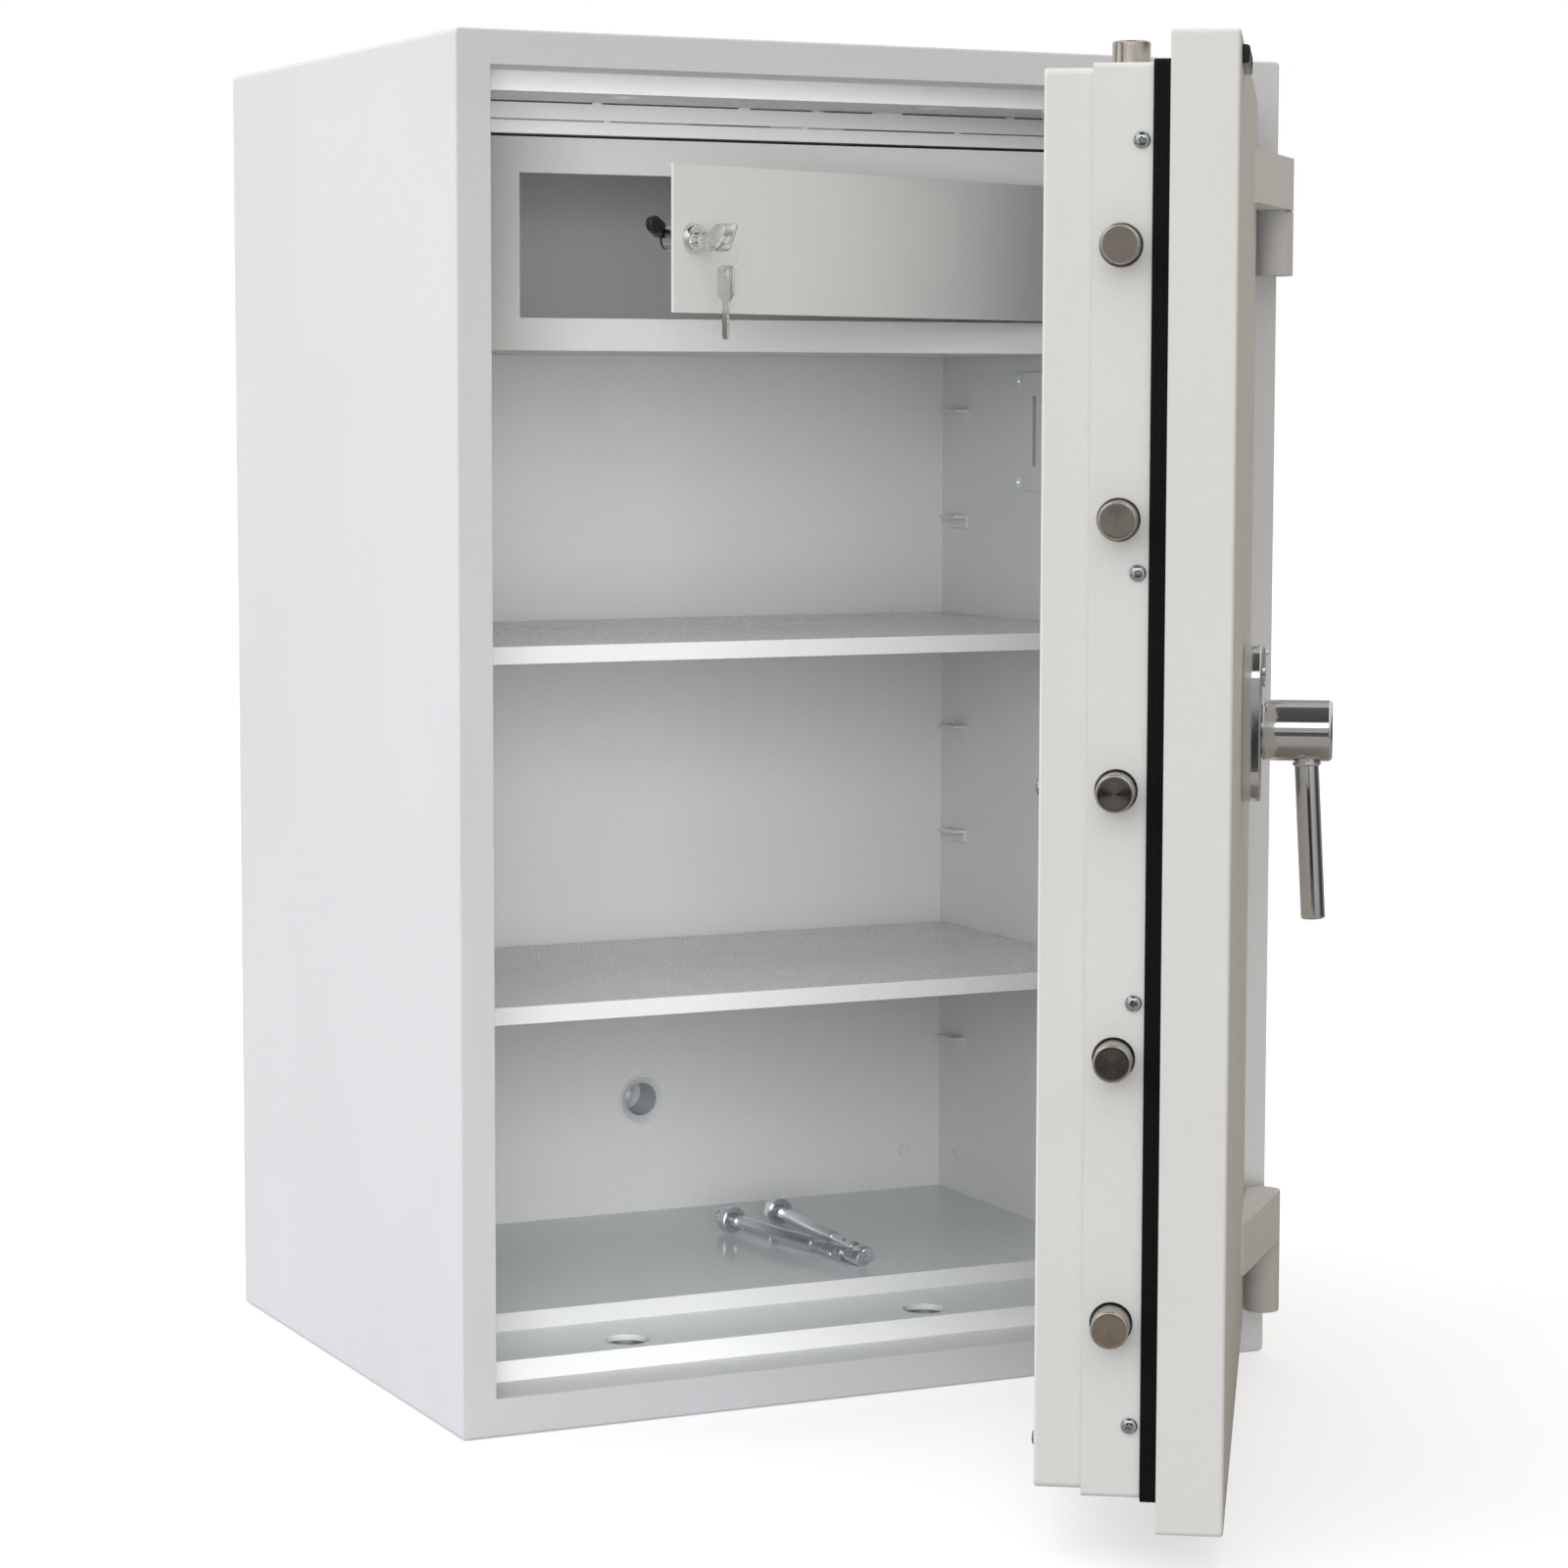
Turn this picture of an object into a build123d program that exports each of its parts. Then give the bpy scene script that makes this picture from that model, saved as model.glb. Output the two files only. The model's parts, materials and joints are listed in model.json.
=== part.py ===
from build123d import *
import math
import os

# Free-standing key-locking security safe, door open, inner compartment door ajar.
# Millimetres. Cabinet coordinates while modelling: X across the front (0 = left
# side), Y into the safe (0 = front face), Z up (0 = floor). Everything is moved
# at the end so that the origin is the centre of the base's footprint.

# ---------------- driving dimensions ----------------
W, D, H = 604.0, 450.0, 900.0            # outside of the cabinet
T_CASE = 3.0                             # casing sheet
LIP_S, LIP_T, LIP_B, LIP_D = 23.7, 22.0, 25.0, 42.0   # front lip: side, top, bottom width; depth
FX0, FX1, FZ0, FZ1 = 37.5, 566.5, 38.9, 865.3          # clear opening of the stepped frame
FRAME_Y = 122.0                          # back end of the stepped frame
IX0, IX1, IZ0, IZ1, IY1 = 48.0, 556.0, 51.5, 844.0, 405.0   # clear interior
T_LIN = 2.0                              # liner sheet

HX, HY = 594.0, -12.6                    # main hinge axis
DOOR_OPEN = 57.2                         # how far the main door stands open, degrees
R_KNUCKLE, R_PIN, FIT = 12.3, 6.0, 0.05

SX0, SX1, SZ0, SZ1, S_T = 27.0, 578.3, 27.0, 872.4, 38.3    # door slab
HSX0, HSX1, HSZ0, HSZ1, HSY = 44.4, 560.9, 43.4, 855.9, 81.9  # bolt housing behind the slab
CVX0, CVX1, CVZ0, CVZ1, CVY = 49.5, 556.0, 46.2, 853.5, 109.4  # boltwork cover
BOLT_R, BOLT_Y, BOLT_OUT = 11.0, 65.4, 19.5   # locking bolts: radius, centre depth, projection
BOLT_Z = [144.8 + 152.6 * k for k in range(5)]
VBOLT_X = [143.5, 368.0]                 # vertical bolts
DOG_Z = [196.0, 452.4, 708.0]            # fixed hinge-side bolts

SPX, SPZ = 311.0, 464.0                  # handle spindle
MOD, TEETH = 1.25, 20                    # pinion on the spindle
KEYZ = 500.0                             # keyhole height
SHELF_Z = [504.2, 261.2]                 # shelf tops
TAB_TOP, TAB_PITCH, TABS = 660.9, 81.0, 7

CX0, CX1, CZ0, CZ1, CY = 49.0, 555.0, 701.0, 842.2, 127.0   # inner compartment
OX0, OX1, OZ0, OZ1 = 93.5, 529.5, 722.6, 818.4               # its doorway
IHX, IHY = 521.0, 134.0                  # inner door hinge axis
INNER_OPEN = 23.15                       # how far the inner door stands ajar, degrees
IDX0, IDX1, IDZ0, IDZ1 = 94.2, 527.0, 723.6, 817.4           # inner door sheet
LKX, LKZ = 112.2, 770.6                  # cam lock centre, inner door shut
CAM_ANG = 146.0                          # cam direction, degrees from +X towards +Z
KEY_ANG = 64.0                           # plane of the key's bow

os.makedirs("parts", exist_ok=True)


# ---------------- helpers ----------------
def bx(x0, x1, y0, y1, z0, z1):
    return Pos((x0 + x1) / 2, (y0 + y1) / 2, (z0 + z1) / 2) * Box(x1 - x0, y1 - y0, z1 - z0)


def cx(x0, x1, y, z, r):
    return Pos((x0 + x1) / 2, y, z) * Rot(0, 90, 0) * Cylinder(r, x1 - x0)


def cy(x, y0, y1, z, r):
    return Pos(x, (y0 + y1) / 2, z) * Rot(90, 0, 0) * Cylinder(r, y1 - y0)


def cz(x, y, z0, z1, r):
    return Pos(x, y, (z0 + z1) / 2) * Cylinder(r, z1 - z0)


def prism_z(pts, z0, z1):
    """Closed outline in the XY plane, extruded from z0 to z1."""
    return Pos(0, 0, z0) * extrude(Plane.XY * make_face(Polyline(*[(p[0], p[1]) for p in pts], close=True)), z1 - z0)


def prism_y(pts, y0, y1):
    """Closed outline in the XZ plane, extruded from y0 to y1."""
    f = make_face(Polyline(*[(p[0], y0, p[1]) for p in pts], close=True))
    s = extrude(f, amount=y1 - y0, dir=(0, 1, 0))
    return s


def cut(a, *bs):
    for b in bs:
        a = a - b
    return a


def home(s):
    return Pos(-W / 2, -D / 2, 0) * s


def on_door(s):
    return home(Pos(HX, HY, 0) * Rot(0, 0, DOOR_OPEN) * Pos(-HX, -HY, 0) * s)


def on_inner(s):
    return home(Pos(IHX, IHY, 0) * Rot(0, 0, INNER_OPEN) * Pos(-IHX, -IHY, 0) * s)


def flat(items):
    out = []
    for s in items:
        if isinstance(s, (list, tuple, ShapeList)):
            out += flat(s)
        else:
            out += list(s.solids())
    return out


def save(name, shape, place=home):
    sol = flat(shape if isinstance(shape, (list, tuple)) else [shape])
    sol = [place(s) for s in sol]
    sol = flat(sol)
    export_step(sol[0] if len(sol) == 1 else Compound(children=sol), "parts/%s.step" % name)
    print("%-24s %d solid(s)" % (name, len(sol)))


# ---------------- cabinet ----------------
outer = bx(0, W, 0, D, 0, H)
outer = fillet(outer.edges().filter_by(Axis.Y), 3.0)
outer = fillet(outer.faces().sort_by(Axis.Y)[0].edges(), 1.6)
casing = cut(outer, bx(T_CASE, W - T_CASE, T_CASE, D + 1, T_CASE, H - T_CASE),
             bx(LIP_S, W - LIP_S, -1, 10, LIP_B, H - LIP_T))
casing = casing + cut(bx(LIP_S - 3, W - LIP_S + 3, T_CASE, LIP_D, LIP_B - 3, H - LIP_T + 3),
                      bx(LIP_S, W - LIP_S, 0, LIP_D + 1, LIP_B, H - LIP_T))
save("outer_casing", casing)

AX, AZ = W / 2, 137.4                    # rear anchoring hole
R_SLEEVE, R_SEAT, R_ANCHOR = 18.0, 12.5, 7.0   # sleeve, seat for nut and washer, hole for the anchor
SEAT_Y = 440.0                           # bottom of the seat
back = cut(bx(3, W - 3, D - 3, D, 3, H - 3), cy(AX, D - 5, D + 1, AZ, R_SLEEVE))
save("back_panel", back)

# stepped frame that the locking bolts enter: a flange and four welded strips with the bolt holes
flange = cut(bx(LIP_S - 3, W - LIP_S + 3, LIP_D, LIP_D + 4, LIP_B - 3, H - LIP_T + 3),
             bx(FX0, FX1, 0, 200, FZ0, FZ1))
R_HOLE, FY = 15.0, LIP_D + 4
left = bx(FX0 - 4, FX0, FY, FRAME_Y, FZ0 - 4, FZ1 + 4)
right = bx(FX1, FX1 + 4, FY, FRAME_Y, FZ0 - 4, FZ1 + 4)
top = bx(FX0, FX1, FY, FRAME_Y, FZ1, FZ1 + 4)
sill = bx(FX0, FX1, FY, FRAME_Y, FZ0 - 4, FZ0)
for z in BOLT_Z:
    left = left - cx(FX0 - 6, FX0 + 2, BOLT_Y, z, R_HOLE)
for z in DOG_Z:
    right = right - cx(FX1 - 2, FX1 + 6, BOLT_Y, z, R_HOLE)
for x in VBOLT_X:
    top = top - cz(x, BOLT_Y, FZ1 - 2, FZ1 + 6, R_HOLE)
    sill = sill - cz(x, BOLT_Y, FZ0 - 6, FZ0 + 2, R_HOLE)
frame = [flange, left, right, top, sill]
save("door_frame", frame)

cups = []
for z in BOLT_Z:
    cups.append(cx(16, FX0 - 4, BOLT_Y, z, 17) - cx(18, FX0, BOLT_Y, z, 15.4))
for z in DOG_Z:
    cups.append(cx(FX1 + 4, 585, BOLT_Y, z, 17) - cx(FX1, 583, BOLT_Y, z, 15.4))
for x in VBOLT_X:
    cups.append(cz(x, BOLT_Y, FZ1 + 4, 886, 17) - cz(x, BOLT_Y, FZ1, 884, 15.4))
    cups.append(cz(x, BOLT_Y, 15, FZ0 - 4, 17) - cz(x, BOLT_Y, 17, FZ0, 15.4))
save("bolt_socket_cups", cups)

# inner liner: five-sided box with a front flange, and a groove in the flange along the ceiling
liner = cut(bx(IX0 - T_LIN, IX1 + T_LIN, FRAME_Y, IY1, IZ0 - T_LIN, IZ1 + T_LIN),
            bx(IX0, IX1, 0, IY1 + 5, IZ0, IZ1))
liner = liner + cut(bx(FX0 - 4, FX1 + 4, FRAME_Y, FRAME_Y + 2, FZ0 - 4, FZ1 + 4), bx(IX0, IX1, 0, IY1, IZ0, IZ1))
liner = liner - bx(IX0, IX1, FRAME_Y - 1, FRAME_Y + 1.2, 852.5, 853.6)
liner = liner - cx(IX1 - 5, IX1 + 5, 376, 81.3, 3.5)
liner = liner - bx(IX1 - 1, IX1 + 3, 252.5, 260.5, 618, 672)
save("inner_liner", liner)
lback = bx(IX0 - T_LIN, IX1 + T_LIN, IY1, IY1 + T_LIN, IZ0 - T_LIN, IZ1 + T_LIN)
lback = lback - cy(AX, IY1 - 5, IY1 + 5, AZ, R_SLEEVE) - cy(525, IY1 - 5, IY1 + 5, 81.9, 3.5)
save("liner_back_wall", lback)

fill = cut(bx(3, W - 3, 3, D - 3, 3, H - 3),
           bx(LIP_S - 3, W - LIP_S + 3, 0, LIP_D + 4, LIP_B - 3, H - LIP_T + 3),
           bx(FX0 - 4, FX1 + 4, 0, FRAME_Y + 2, FZ0 - 4, FZ1 + 4),
           bx(IX0 - T_LIN, IX1 + T_LIN, 0, IY1 + T_LIN, IZ0 - T_LIN, IZ1 + T_LIN),
           cy(AX, IY1 - 5, D, AZ, R_SLEEVE), cy(525, IY1, IY1 + 12, 81.9, 3.5), cx(IX1, IX1 + 14, 376, 81.3, 3.5),
           bx(IX1, IX1 + 14, 250, 263, 616, 674))
for z in BOLT_Z:
    fill = fill - cx(16, FX0, BOLT_Y, z, 17)
for z in DOG_Z:
    fill = fill - cx(FX1, 585, BOLT_Y, z, 17)
for x in VBOLT_X:
    fill = fill - cz(x, BOLT_Y, FZ1, 886, 17) - cz(x, BOLT_Y, 15, FZ0, 17)
save("barrier_fill", fill)

sleeve = cy(AX, IY1, D, AZ, R_SLEEVE) + cy(AX, IY1 - 1.4, IY1, AZ, 19.5)
sleeve = sleeve - cy(AX, IY1 - 5, SEAT_Y, AZ, R_SEAT) - cy(AX, SEAT_Y - 1, D + 1, AZ, R_ANCHOR)
sleeve = sleeve - Pos(AX, IY1 + 1.1, AZ) * Rot(90, 0, 0) * Cone(R_SEAT, 18.5, 5.2)
save("anchor_sleeve", sleeve)

plugs = [cy(525, IY1 - 1.2, IY1, 81.9, 4.8) + cy(525, IY1, IY1 + 11, 81.9, 3.4),
         cx(IX1 - 1.2, IX1, 376, 81.3, 4.8) + cx(IX1, IX1 + 11, 376, 81.3, 3.4)]
plugs = [fillet(p.faces().sort_by(Axis.Y if i == 0 else Axis.X)[0].edges(), 0.9) for i, p in enumerate(plugs)]
save("wall_plugs", plugs)

plate = cut(bx(IX1 - 1.5, IX1, 224, 289, 601, 689), bx(IX1 - 2, IX1 + 1, 253.7, 259.3, 619.5, 671.5))
holes = [(279, 682), (279, 607), (234, 682), (234, 607)]
for (y, z) in holes:
    plate = plate - cx(IX1 - 2, IX1 + 1, y, z, 2.2) - Pos(IX1 - 0.75, y, z) * Rot(0, -90, 0) * Cone(2.2, 4.2, 1.5)
save("wall_cover_plate", plate)
scr = []
for (y, z) in holes:
    s = Pos(IX1 - 0.75, y, z) * Rot(0, -90, 0) * Cone(2.0, 4.0, 1.5)
    s = s - bx(IX1 - 1.6, IX1 - 0.9, y - 2.2, y + 2.2, z - 0.4, z + 0.4) - bx(IX1 - 1.6, IX1 - 0.9, y - 0.4, y + 0.4, z - 2.2, z + 2.2)
    scr.append(s)
save("wall_cover_screws", scr)

# shelf supports: small bent tabs on both side walls, seven levels, two columns
tabs = []
for k in range(TABS):
    zt = TAB_TOP - TAB_PITCH * k
    for (y0, y1) in ((362, 388), (158, 184)):
        tabs.append(bx(IX1 - 12, IX1, y0, y1, zt - 2, zt) + bx(IX1 - 2, IX1, y0, y1, zt - 9.6, zt - 2))
        tabs.append(bx(IX0, IX0 + 12, y0, y1, zt - 2, zt) + bx(IX0, IX0 + 2, y0, y1, zt - 9.6, zt - 2))
save("shelf_tabs", tabs)


def shelf(zt):
    x0, x1, y0, y1, t = IX0 + 1.2, IX1 - 1.2, 118.0, 402.0, 1.5
    s = bx(x0, x1, y0, y1, zt - t, zt)
    s = s + bx(x0, x1, y0, y0 + t, zt - 12, zt) + bx(x0, x1, y0, y0 + 12, zt - 12, zt - 12 + t)
    s = s + bx(x0, x1, y1 - t, y1, zt - 12, zt)
    for (a, b, c, d) in ((x0, x0 + t, x0, x0 + 15), (x1 - t, x1, x1 - 15, x1)):
        s = s + bx(a, b, y0, y1, zt - 5.3, zt) + bx(c, d, y0, y1, zt - 5.3, zt - 5.3 + t)
    s = fillet(s.edges().filter_by(Axis.X).group_by(Axis.Y)[0].sort_by(Axis.Z)[-1], 1.2)
    return s


save("upper_shelf", shelf(SHELF_Z[0]))
save("lower_shelf", shelf(SHELF_Z[1]))

# inner lockable compartment under the ceiling
comp = cut(bx(CX0, CX1, CY + 2, 403.5, CZ0, CZ1), bx(CX0 + 1.5, CX1 - 1.5, CY - 5, 402, CZ0 + 1.5, CZ1 - 1.5))
save("compartment_box", comp)
front = cut(bx(CX0, CX1, CY, CY + 2, CZ0, CZ1), bx(OX0, OX1, CY - 1, CY + 3, OZ0, OZ1))
front = front + bx(OX0 - 1.5, OX0, CY + 2, 144.5, OZ0, OZ1)
for (z0, z1) in ((OZ0 - 5.6, OZ0 - 3.6), (OZ1 + 3.6, OZ1 + 5.6)):
    br = bx(IHX - 10, IHX + 12, CY + 2, IHY + 8, z0, z1) - cz(IHX, IHY, z0 - 1, z1 + 1, 2.05)
    front = front + br
save("compartment_front", front)

# hinges: weld-on knuckle below, door arm above, pin with ball and washer
HINGE = [(753.7, 797.1, 798.2, 833.1), (33.0, 82.2, 83.3, 118.3)]
kn, pins, bear = [], [], []
for (k0, k1, a0, a1) in HINGE:
    k = cz(HX, HY, k0, k1, R_KNUCKLE) + bx(585, 602.4, -11, 0, k0, k1)
    k = fillet(k.edges().filter_by(GeomType.CIRCLE).group_by(Axis.Z)[0], 0.8)
    kn.append(k - cz(HX, HY, k0 - 1, k1 + 1, R_PIN))
    pins.append(cz(HX, HY, k0 + 3, a0 + 20, R_PIN))
    bear.append(cz(HX, HY, k1, k1 + 1.0, 11.6) - cz(HX, HY, k1 - 1, k1 + 2, R_PIN + 0.1))
    bear.append(Pos(HX, HY, a0 + 20 + 4.9) * Sphere(4.9))
save("hinge_knuckles", kn)
save("hinge_pins", pins)
save("hinge_bearings", bear)


# two expansion anchors with nuts, left on the floor of the safe
def hexa(y0, y1, af):
    r = af / math.sqrt(3)
    return prism_y([(r * math.cos(math.radians(60 * i + 30)), r * math.sin(math.radians(60 * i + 30))) for i in range(6)], y0, y1)


ANC_L, ANC_R, ANC_AF, ANC_W = 165.0, 5.0, 17.0, 10.0     # length, rod radius, nut across flats, washer radius


def anchor_shapes():
    """An anchor along -Y from its threaded end at y = 0; its axis is the Y axis."""
    rod = cy(0, -111, 0, 0, ANC_R)
    rod = chamfer(rod.faces().sort_by(Axis.Y)[-1].edges(), 0.9)
    tip = cy(0, -147, -111, 0, 3.9) + Pos(0, -152.5, 0) * Rot(90, 0, 0) * Cone(3.9, 5.3, 11)
    end = cy(0, -ANC_L, -158, 0, 5.3)
    end = chamfer(end.faces().sort_by(Axis.Y)[0].edges(), 0.9)
    clip = cy(0, -146, -128, 0, 5.4) - cy(0, -150, -120, 0, 4.0)
    nut = hexa(-16, -8, ANC_AF) - cy(0, -20, 0, 0, ANC_R + 0.05)
    washer = cy(0, -18.1, -16.1, 0, ANC_W) - cy(0, -23, -10, 0, 5.3)
    return rod + tip + end, clip, nut, washer


rods, nuts = [], []
for (ax, ay, ang, roll) in ((325.4, 315.8, 13.81, 30), (374.4, 331.1, 0.0, 12)):
    place = Pos(ax, ay, IZ0 + 10.62) * Rot(0, 0, ang) * Rot(1.79, 0, 0) * Rot(0, roll, 0)
    a, c, n, w = anchor_shapes()
    rods += [place * a, place * c]
    nuts += [place * n, place * w]
save("anchor_bolts", rods)
save("anchor_nuts", nuts)

# ---------------- main door, modelled shut ----------------
tray = bx(SX0, SX1, 0, S_T, SZ0, SZ1)
tray = fillet(tray.edges().filter_by(Axis.Y), 2.5)
tray = fillet(tray.faces().sort_by(Axis.Y)[0].edges(), 2.0)
tray = cut(tray, bx(SX0 + 4, SX1 - 4, 5, S_T + 1, SZ0 + 4, SZ1 - 4), cy(SPX, -1, 6, SPZ, 10), cy(SPX, -1, 6, KEYZ, 7))
save("door_slab", tray, on_door)
bk = cut(bx(SX0 + 4, SX1 - 4, S_T - 3, S_T, SZ0 + 4, SZ1 - 4), cy(SPX, 30, 40, SPZ, 10), cy(SPX, 30, 40, KEYZ, 7))
save("door_back_plate", bk, on_door)
drill = cut(bx(241, 381, 5, 10, 424, 554), cy(SPX, 0, 20, SPZ, 10), cy(SPX, 0, 20, KEYZ, 7))
save("drill_plate", drill, on_door)
dfill = cut(bx(SX0 + 4, SX1 - 4, 5, S_T - 3, SZ0 + 4, SZ1 - 4), bx(241, 381, 5, 10, 424, 554),
            cy(SPX, 0, 40, SPZ, 10), cy(SPX, 0, 40, KEYZ, 7))
save("door_fill", dfill, on_door)
bushes = [cut(cy(SPX, 0, S_T, SPZ, 10), cy(SPX, -1, 40, SPZ, 7.05)),
          cut(cy(SPX, 0, 78.5, KEYZ, 7), cy(SPX, -1, 80, KEYZ, 5.5))]
save("door_bushes", bushes, on_door)

seal = cut(bx(HSX0 - 2.4, HSX1 + 2.4, S_T, S_T + 10, HSZ0 - 2.6, HSZ1 + 2.0), bx(HSX0, HSX1, 0, 90, HSZ0, HSZ1))
save("door_seal", seal, on_door)

hous = bx(HSX0, HSX1, S_T, HSY, HSZ0, HSZ1)
hous = fillet(hous.edges().filter_by(Axis.Y), 3.0)
hous = cut(hous, bx(HSX0 + 3, HSX1 - 3, S_T - 1, HSY - 3, HSZ0 + 3, HSZ1 - 3),
           bx(HSX0 + 16, HSX1 - 16, S_T, HSY + 1, HSZ0 + 16, HSZ1 - 16))
R_EXIT = 12.3
for z in BOLT_Z:
    hous = hous - cx(HSX0 - 1, HSX0 + 5, BOLT_Y, z, R_EXIT)
for z in DOG_Z:
    hous = hous - cx(HSX1 - 5, HSX1 + 1, BOLT_Y, z, 6.0)
for x in VBOLT_X:
    hous = hous - cz(x, BOLT_Y, HSZ1 - 5, HSZ1 + 1, R_EXIT) - cz(x, BOLT_Y, HSZ0 - 1, HSZ0 + 5, R_EXIT)
SCREW_Z = [85.6, 329.3, 572.7, 813.0]
for z in SCREW_Z:
    hous = hous - cx(HSX0 - 1, HSX0 + 4, 54.6, z, 2.6) - cx(HSX1 - 4, HSX1 + 1, 54.6, z, 2.6)
save("bolt_housing", hous, on_door)

dogs = []
for z in DOG_Z:
    d_ = cx(HSX1, HSX1 + 11, BOLT_Y, z, BOLT_R)
    d_ = chamfer(d_.faces().sort_by(Axis.X)[-1].edges(), 1.0)
    dogs.append(d_ + cx(HSX1 - 12, HSX1, BOLT_Y, z, 5.9))
save("dog_bolts", dogs, on_door)

# cover over the boltwork, with a pressed pocket that clears the keys of the inner lock
PK = (76.0, 160.0, 84.5, 692.0, 800.0)   # pocket x0, x1, floor y, z0, z1
cov = bx(CVX0, CVX1, HSY, CVY, CVZ0, CVZ1)
cov = fillet(cov.edges().filter_by(Axis.Y), 4.0)
cov = fillet(cov.faces().sort_by(Axis.Y)[-1].edges(), 1.8)
cov = cut(cov, bx(CVX0 + 1.5, CVX1 - 1.5, HSY - 1, CVY - 1.5, CVZ0 + 1.5, CVZ1 - 1.5))
window = bx(PK[0], PK[1], CVY - 5, CVY + 5, PK[3], PK[4])
window = fillet(window.edges().filter_by(Axis.Y), 6.0)
cov = cov - window
CSCREW = [(72, 70), (302, 62), (533, 70), (72, 830), (302, 838), (533, 830), (60, 450), (545, 450)]
for (x, z) in CSCREW:
    cov = cov - cy(x, CVY - 3, CVY + 1, z, 2.6)
save("boltwork_cover", cov, on_door)
tray = bx(PK[0] - 1.5, PK[1] + 1.5, PK[2] - 1.5, CVY - 1.5, PK[3] - 1.5, PK[4] + 1.5)
tray = fillet(tray.edges().filter_by(Axis.Y), 7.5)
well = bx(PK[0], PK[1], PK[2], CVY + 5, PK[3], PK[4])
well = fillet(well.edges().filter_by(Axis.Y), 6.0)
save("key_pocket", tray - well, on_door)


def pan_head(axis, p, sgn):
    """Cross-recess pan-head screw: head on the surface at p, shank going the other way."""
    h = Cylinder(4.9, 2.6)
    h = fillet(h.faces().sort_by(Axis.Z)[-1].edges(), 1.6)
    h = h - Pos(0, 0, 1.0) * Box(5.0, 0.9, 1.2) - Pos(0, 0, 1.0) * Box(0.9, 5.0, 1.2)
    s = Pos(0, 0, 1.3) * h + Pos(0, 0, -4.0) * Cylinder(2.5, 8.0)
    if axis == "x":
        s = Rot(0, 90 * sgn, 0) * s
    else:
        s = Rot(-90 * sgn, 0, 0) * s
    return Pos(*p) * s


scr = [pan_head("x", (HSX0, 54.6, z), -1) for z in SCREW_Z] + [pan_head("x", (HSX1, 54.6, z), 1) for z in SCREW_Z]
scr += [pan_head("y", (x, CVY, z), 1) for (x, z) in CSCREW]
save("door_screws", scr, on_door)

# guides for bolts and bars, and the posts that carry the lock
gl = cut(bx(56, 62, S_T, 78, 110, 795), *[cx(50, 70, BOLT_Y, z, BOLT_R + FIT) for z in BOLT_Z])
gt = cut(bx(120, 392, S_T, 78, 836, 842), *[cz(x, BOLT_Y, 830, 850, BOLT_R + FIT) for x in VBOLT_X])
gb = cut(bx(120, 392, S_T, 78, 57, 63), *[cz(x, BOLT_Y, 50, 70, BOLT_R + FIT) for x in VBOLT_X])
guides = [gl, gt, gb]
for z in (610, 730):
    guides.append(bx(317, 346, S_T, 66, z, z + 16) - bx(324.7, 338.3, 53.7, 62.3, z - 1, z + 17))
for z in (160, 330):
    guides.append(bx(276, 305, S_T, 66, z, z + 16) - bx(283.7, 297.3, 53.7, 62.3, z - 1, z + 17))
guides.append(bx(180, 196, S_T, 78, 470, 497) - bx(179, 197, 65.7, 74.3, 477.7, 490.3))
for (x, z) in ((270, 549), (314, 549), (276, 501)):
    guides.append(cy(x, S_T, 78.5, z, 4.0))
save("boltwork_guides", guides, on_door)

arms = []
for (k0, k1, a0, a1) in HINGE:
    pts = [(124, -12.6), (124, -10.2), (2.45, 12.05), (-2, 11), (-8, 0), (0, -12.1), (16.2, -12.1), (16.2, -12.6)]
    a = prism_z([(HX - u, HY - v) for (u, v) in pts], a0, a1) + cz(HX, HY, a0, a1, R_KNUCKLE)
    arms.append(a - cz(HX, HY, a0 - 1, a0 + 30, R_PIN + FIT))
save("hinge_arms", arms, on_door)

esc_pts = SlotOverall(98.4, 46)
esc = Pos(SPX, 0, 468.2) * Rot(90, 0, 0) * Rot(0, 0, 90) * extrude(esc_pts, 11.5)
esc = chamfer(esc.faces().sort_by(Axis.Y)[0].edges(), 1.2)
esc = esc - cy(SPX, -20, 1, SPZ, 7.4) - cy(SPX, -20, 1, KEYZ, 3.6) - bx(SPX - 1.7, SPX + 1.7, -20, 1, KEYZ - 9, KEYZ)
esc = esc + cy(SPX, -15.6, -11.5, 512.4, 1.9)
save("escutcheon", esc, on_door)
kc = cy(SPX, -13.9, -11.7, 500.2, 9.4) + cy(SPX, -13.9, -11.7, 512.4, 4.0)
kc = kc + bx(SPX - 4.0, SPX + 4.0, -13.9, -11.7, 500.2, 512.4)
kc = kc - cy(SPX, -20, -10, 512.4, 1.95)
save("keyhole_cover", kc, on_door)

case = cut(bx(262, 322, 78.5, 99.5, 477, 557), bx(264.5, 319.5, 81, 100, 479.5, 554.5),
           bx(318, 323, 84.7, 95.3, 514.7, 535.3), cy(SPX, 75, 82, KEYZ, 5.6))
lid = bx(262, 322, 99.5, 102, 477, 557)
save("lock_case", [case, lid], on_door)
levers = [bx(267, 283, y, y + 1.6, 488, 546) - cy(275, 80, 100, 517, 4) for y in (84.0, 86.0, 88.0, 90.0, 92.0, 94.0)]
save("lock_levers", levers, on_door)
lb = cut(bx(285, 321.7, 85, 95, 515, 535), bx(290, 300, 84, 96, 514, 521))
save("lock_bolt", lb, on_door)

npl = bx(594 - 540, 594 - 452, -4.2, 0, 855.5, 866)
npl = fillet(npl.edges().filter_by(Axis.Y), 1.2)
save("name_plate", npl, on_door)


# ---------------- boltwork ----------------
def latch_bolt(x0, x1, z):
    b = cx(x0, x1, BOLT_Y, z, BOLT_R)
    b = fillet(b.faces().sort_by(Axis.X)[0].edges(), 1.2)
    b = b - cx(x0 - 1, x0 + 0.5, BOLT_Y, z, 8.6)
    return b + cx(x1, x1 + 9, BOLT_Y, z, 5.9)


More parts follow.
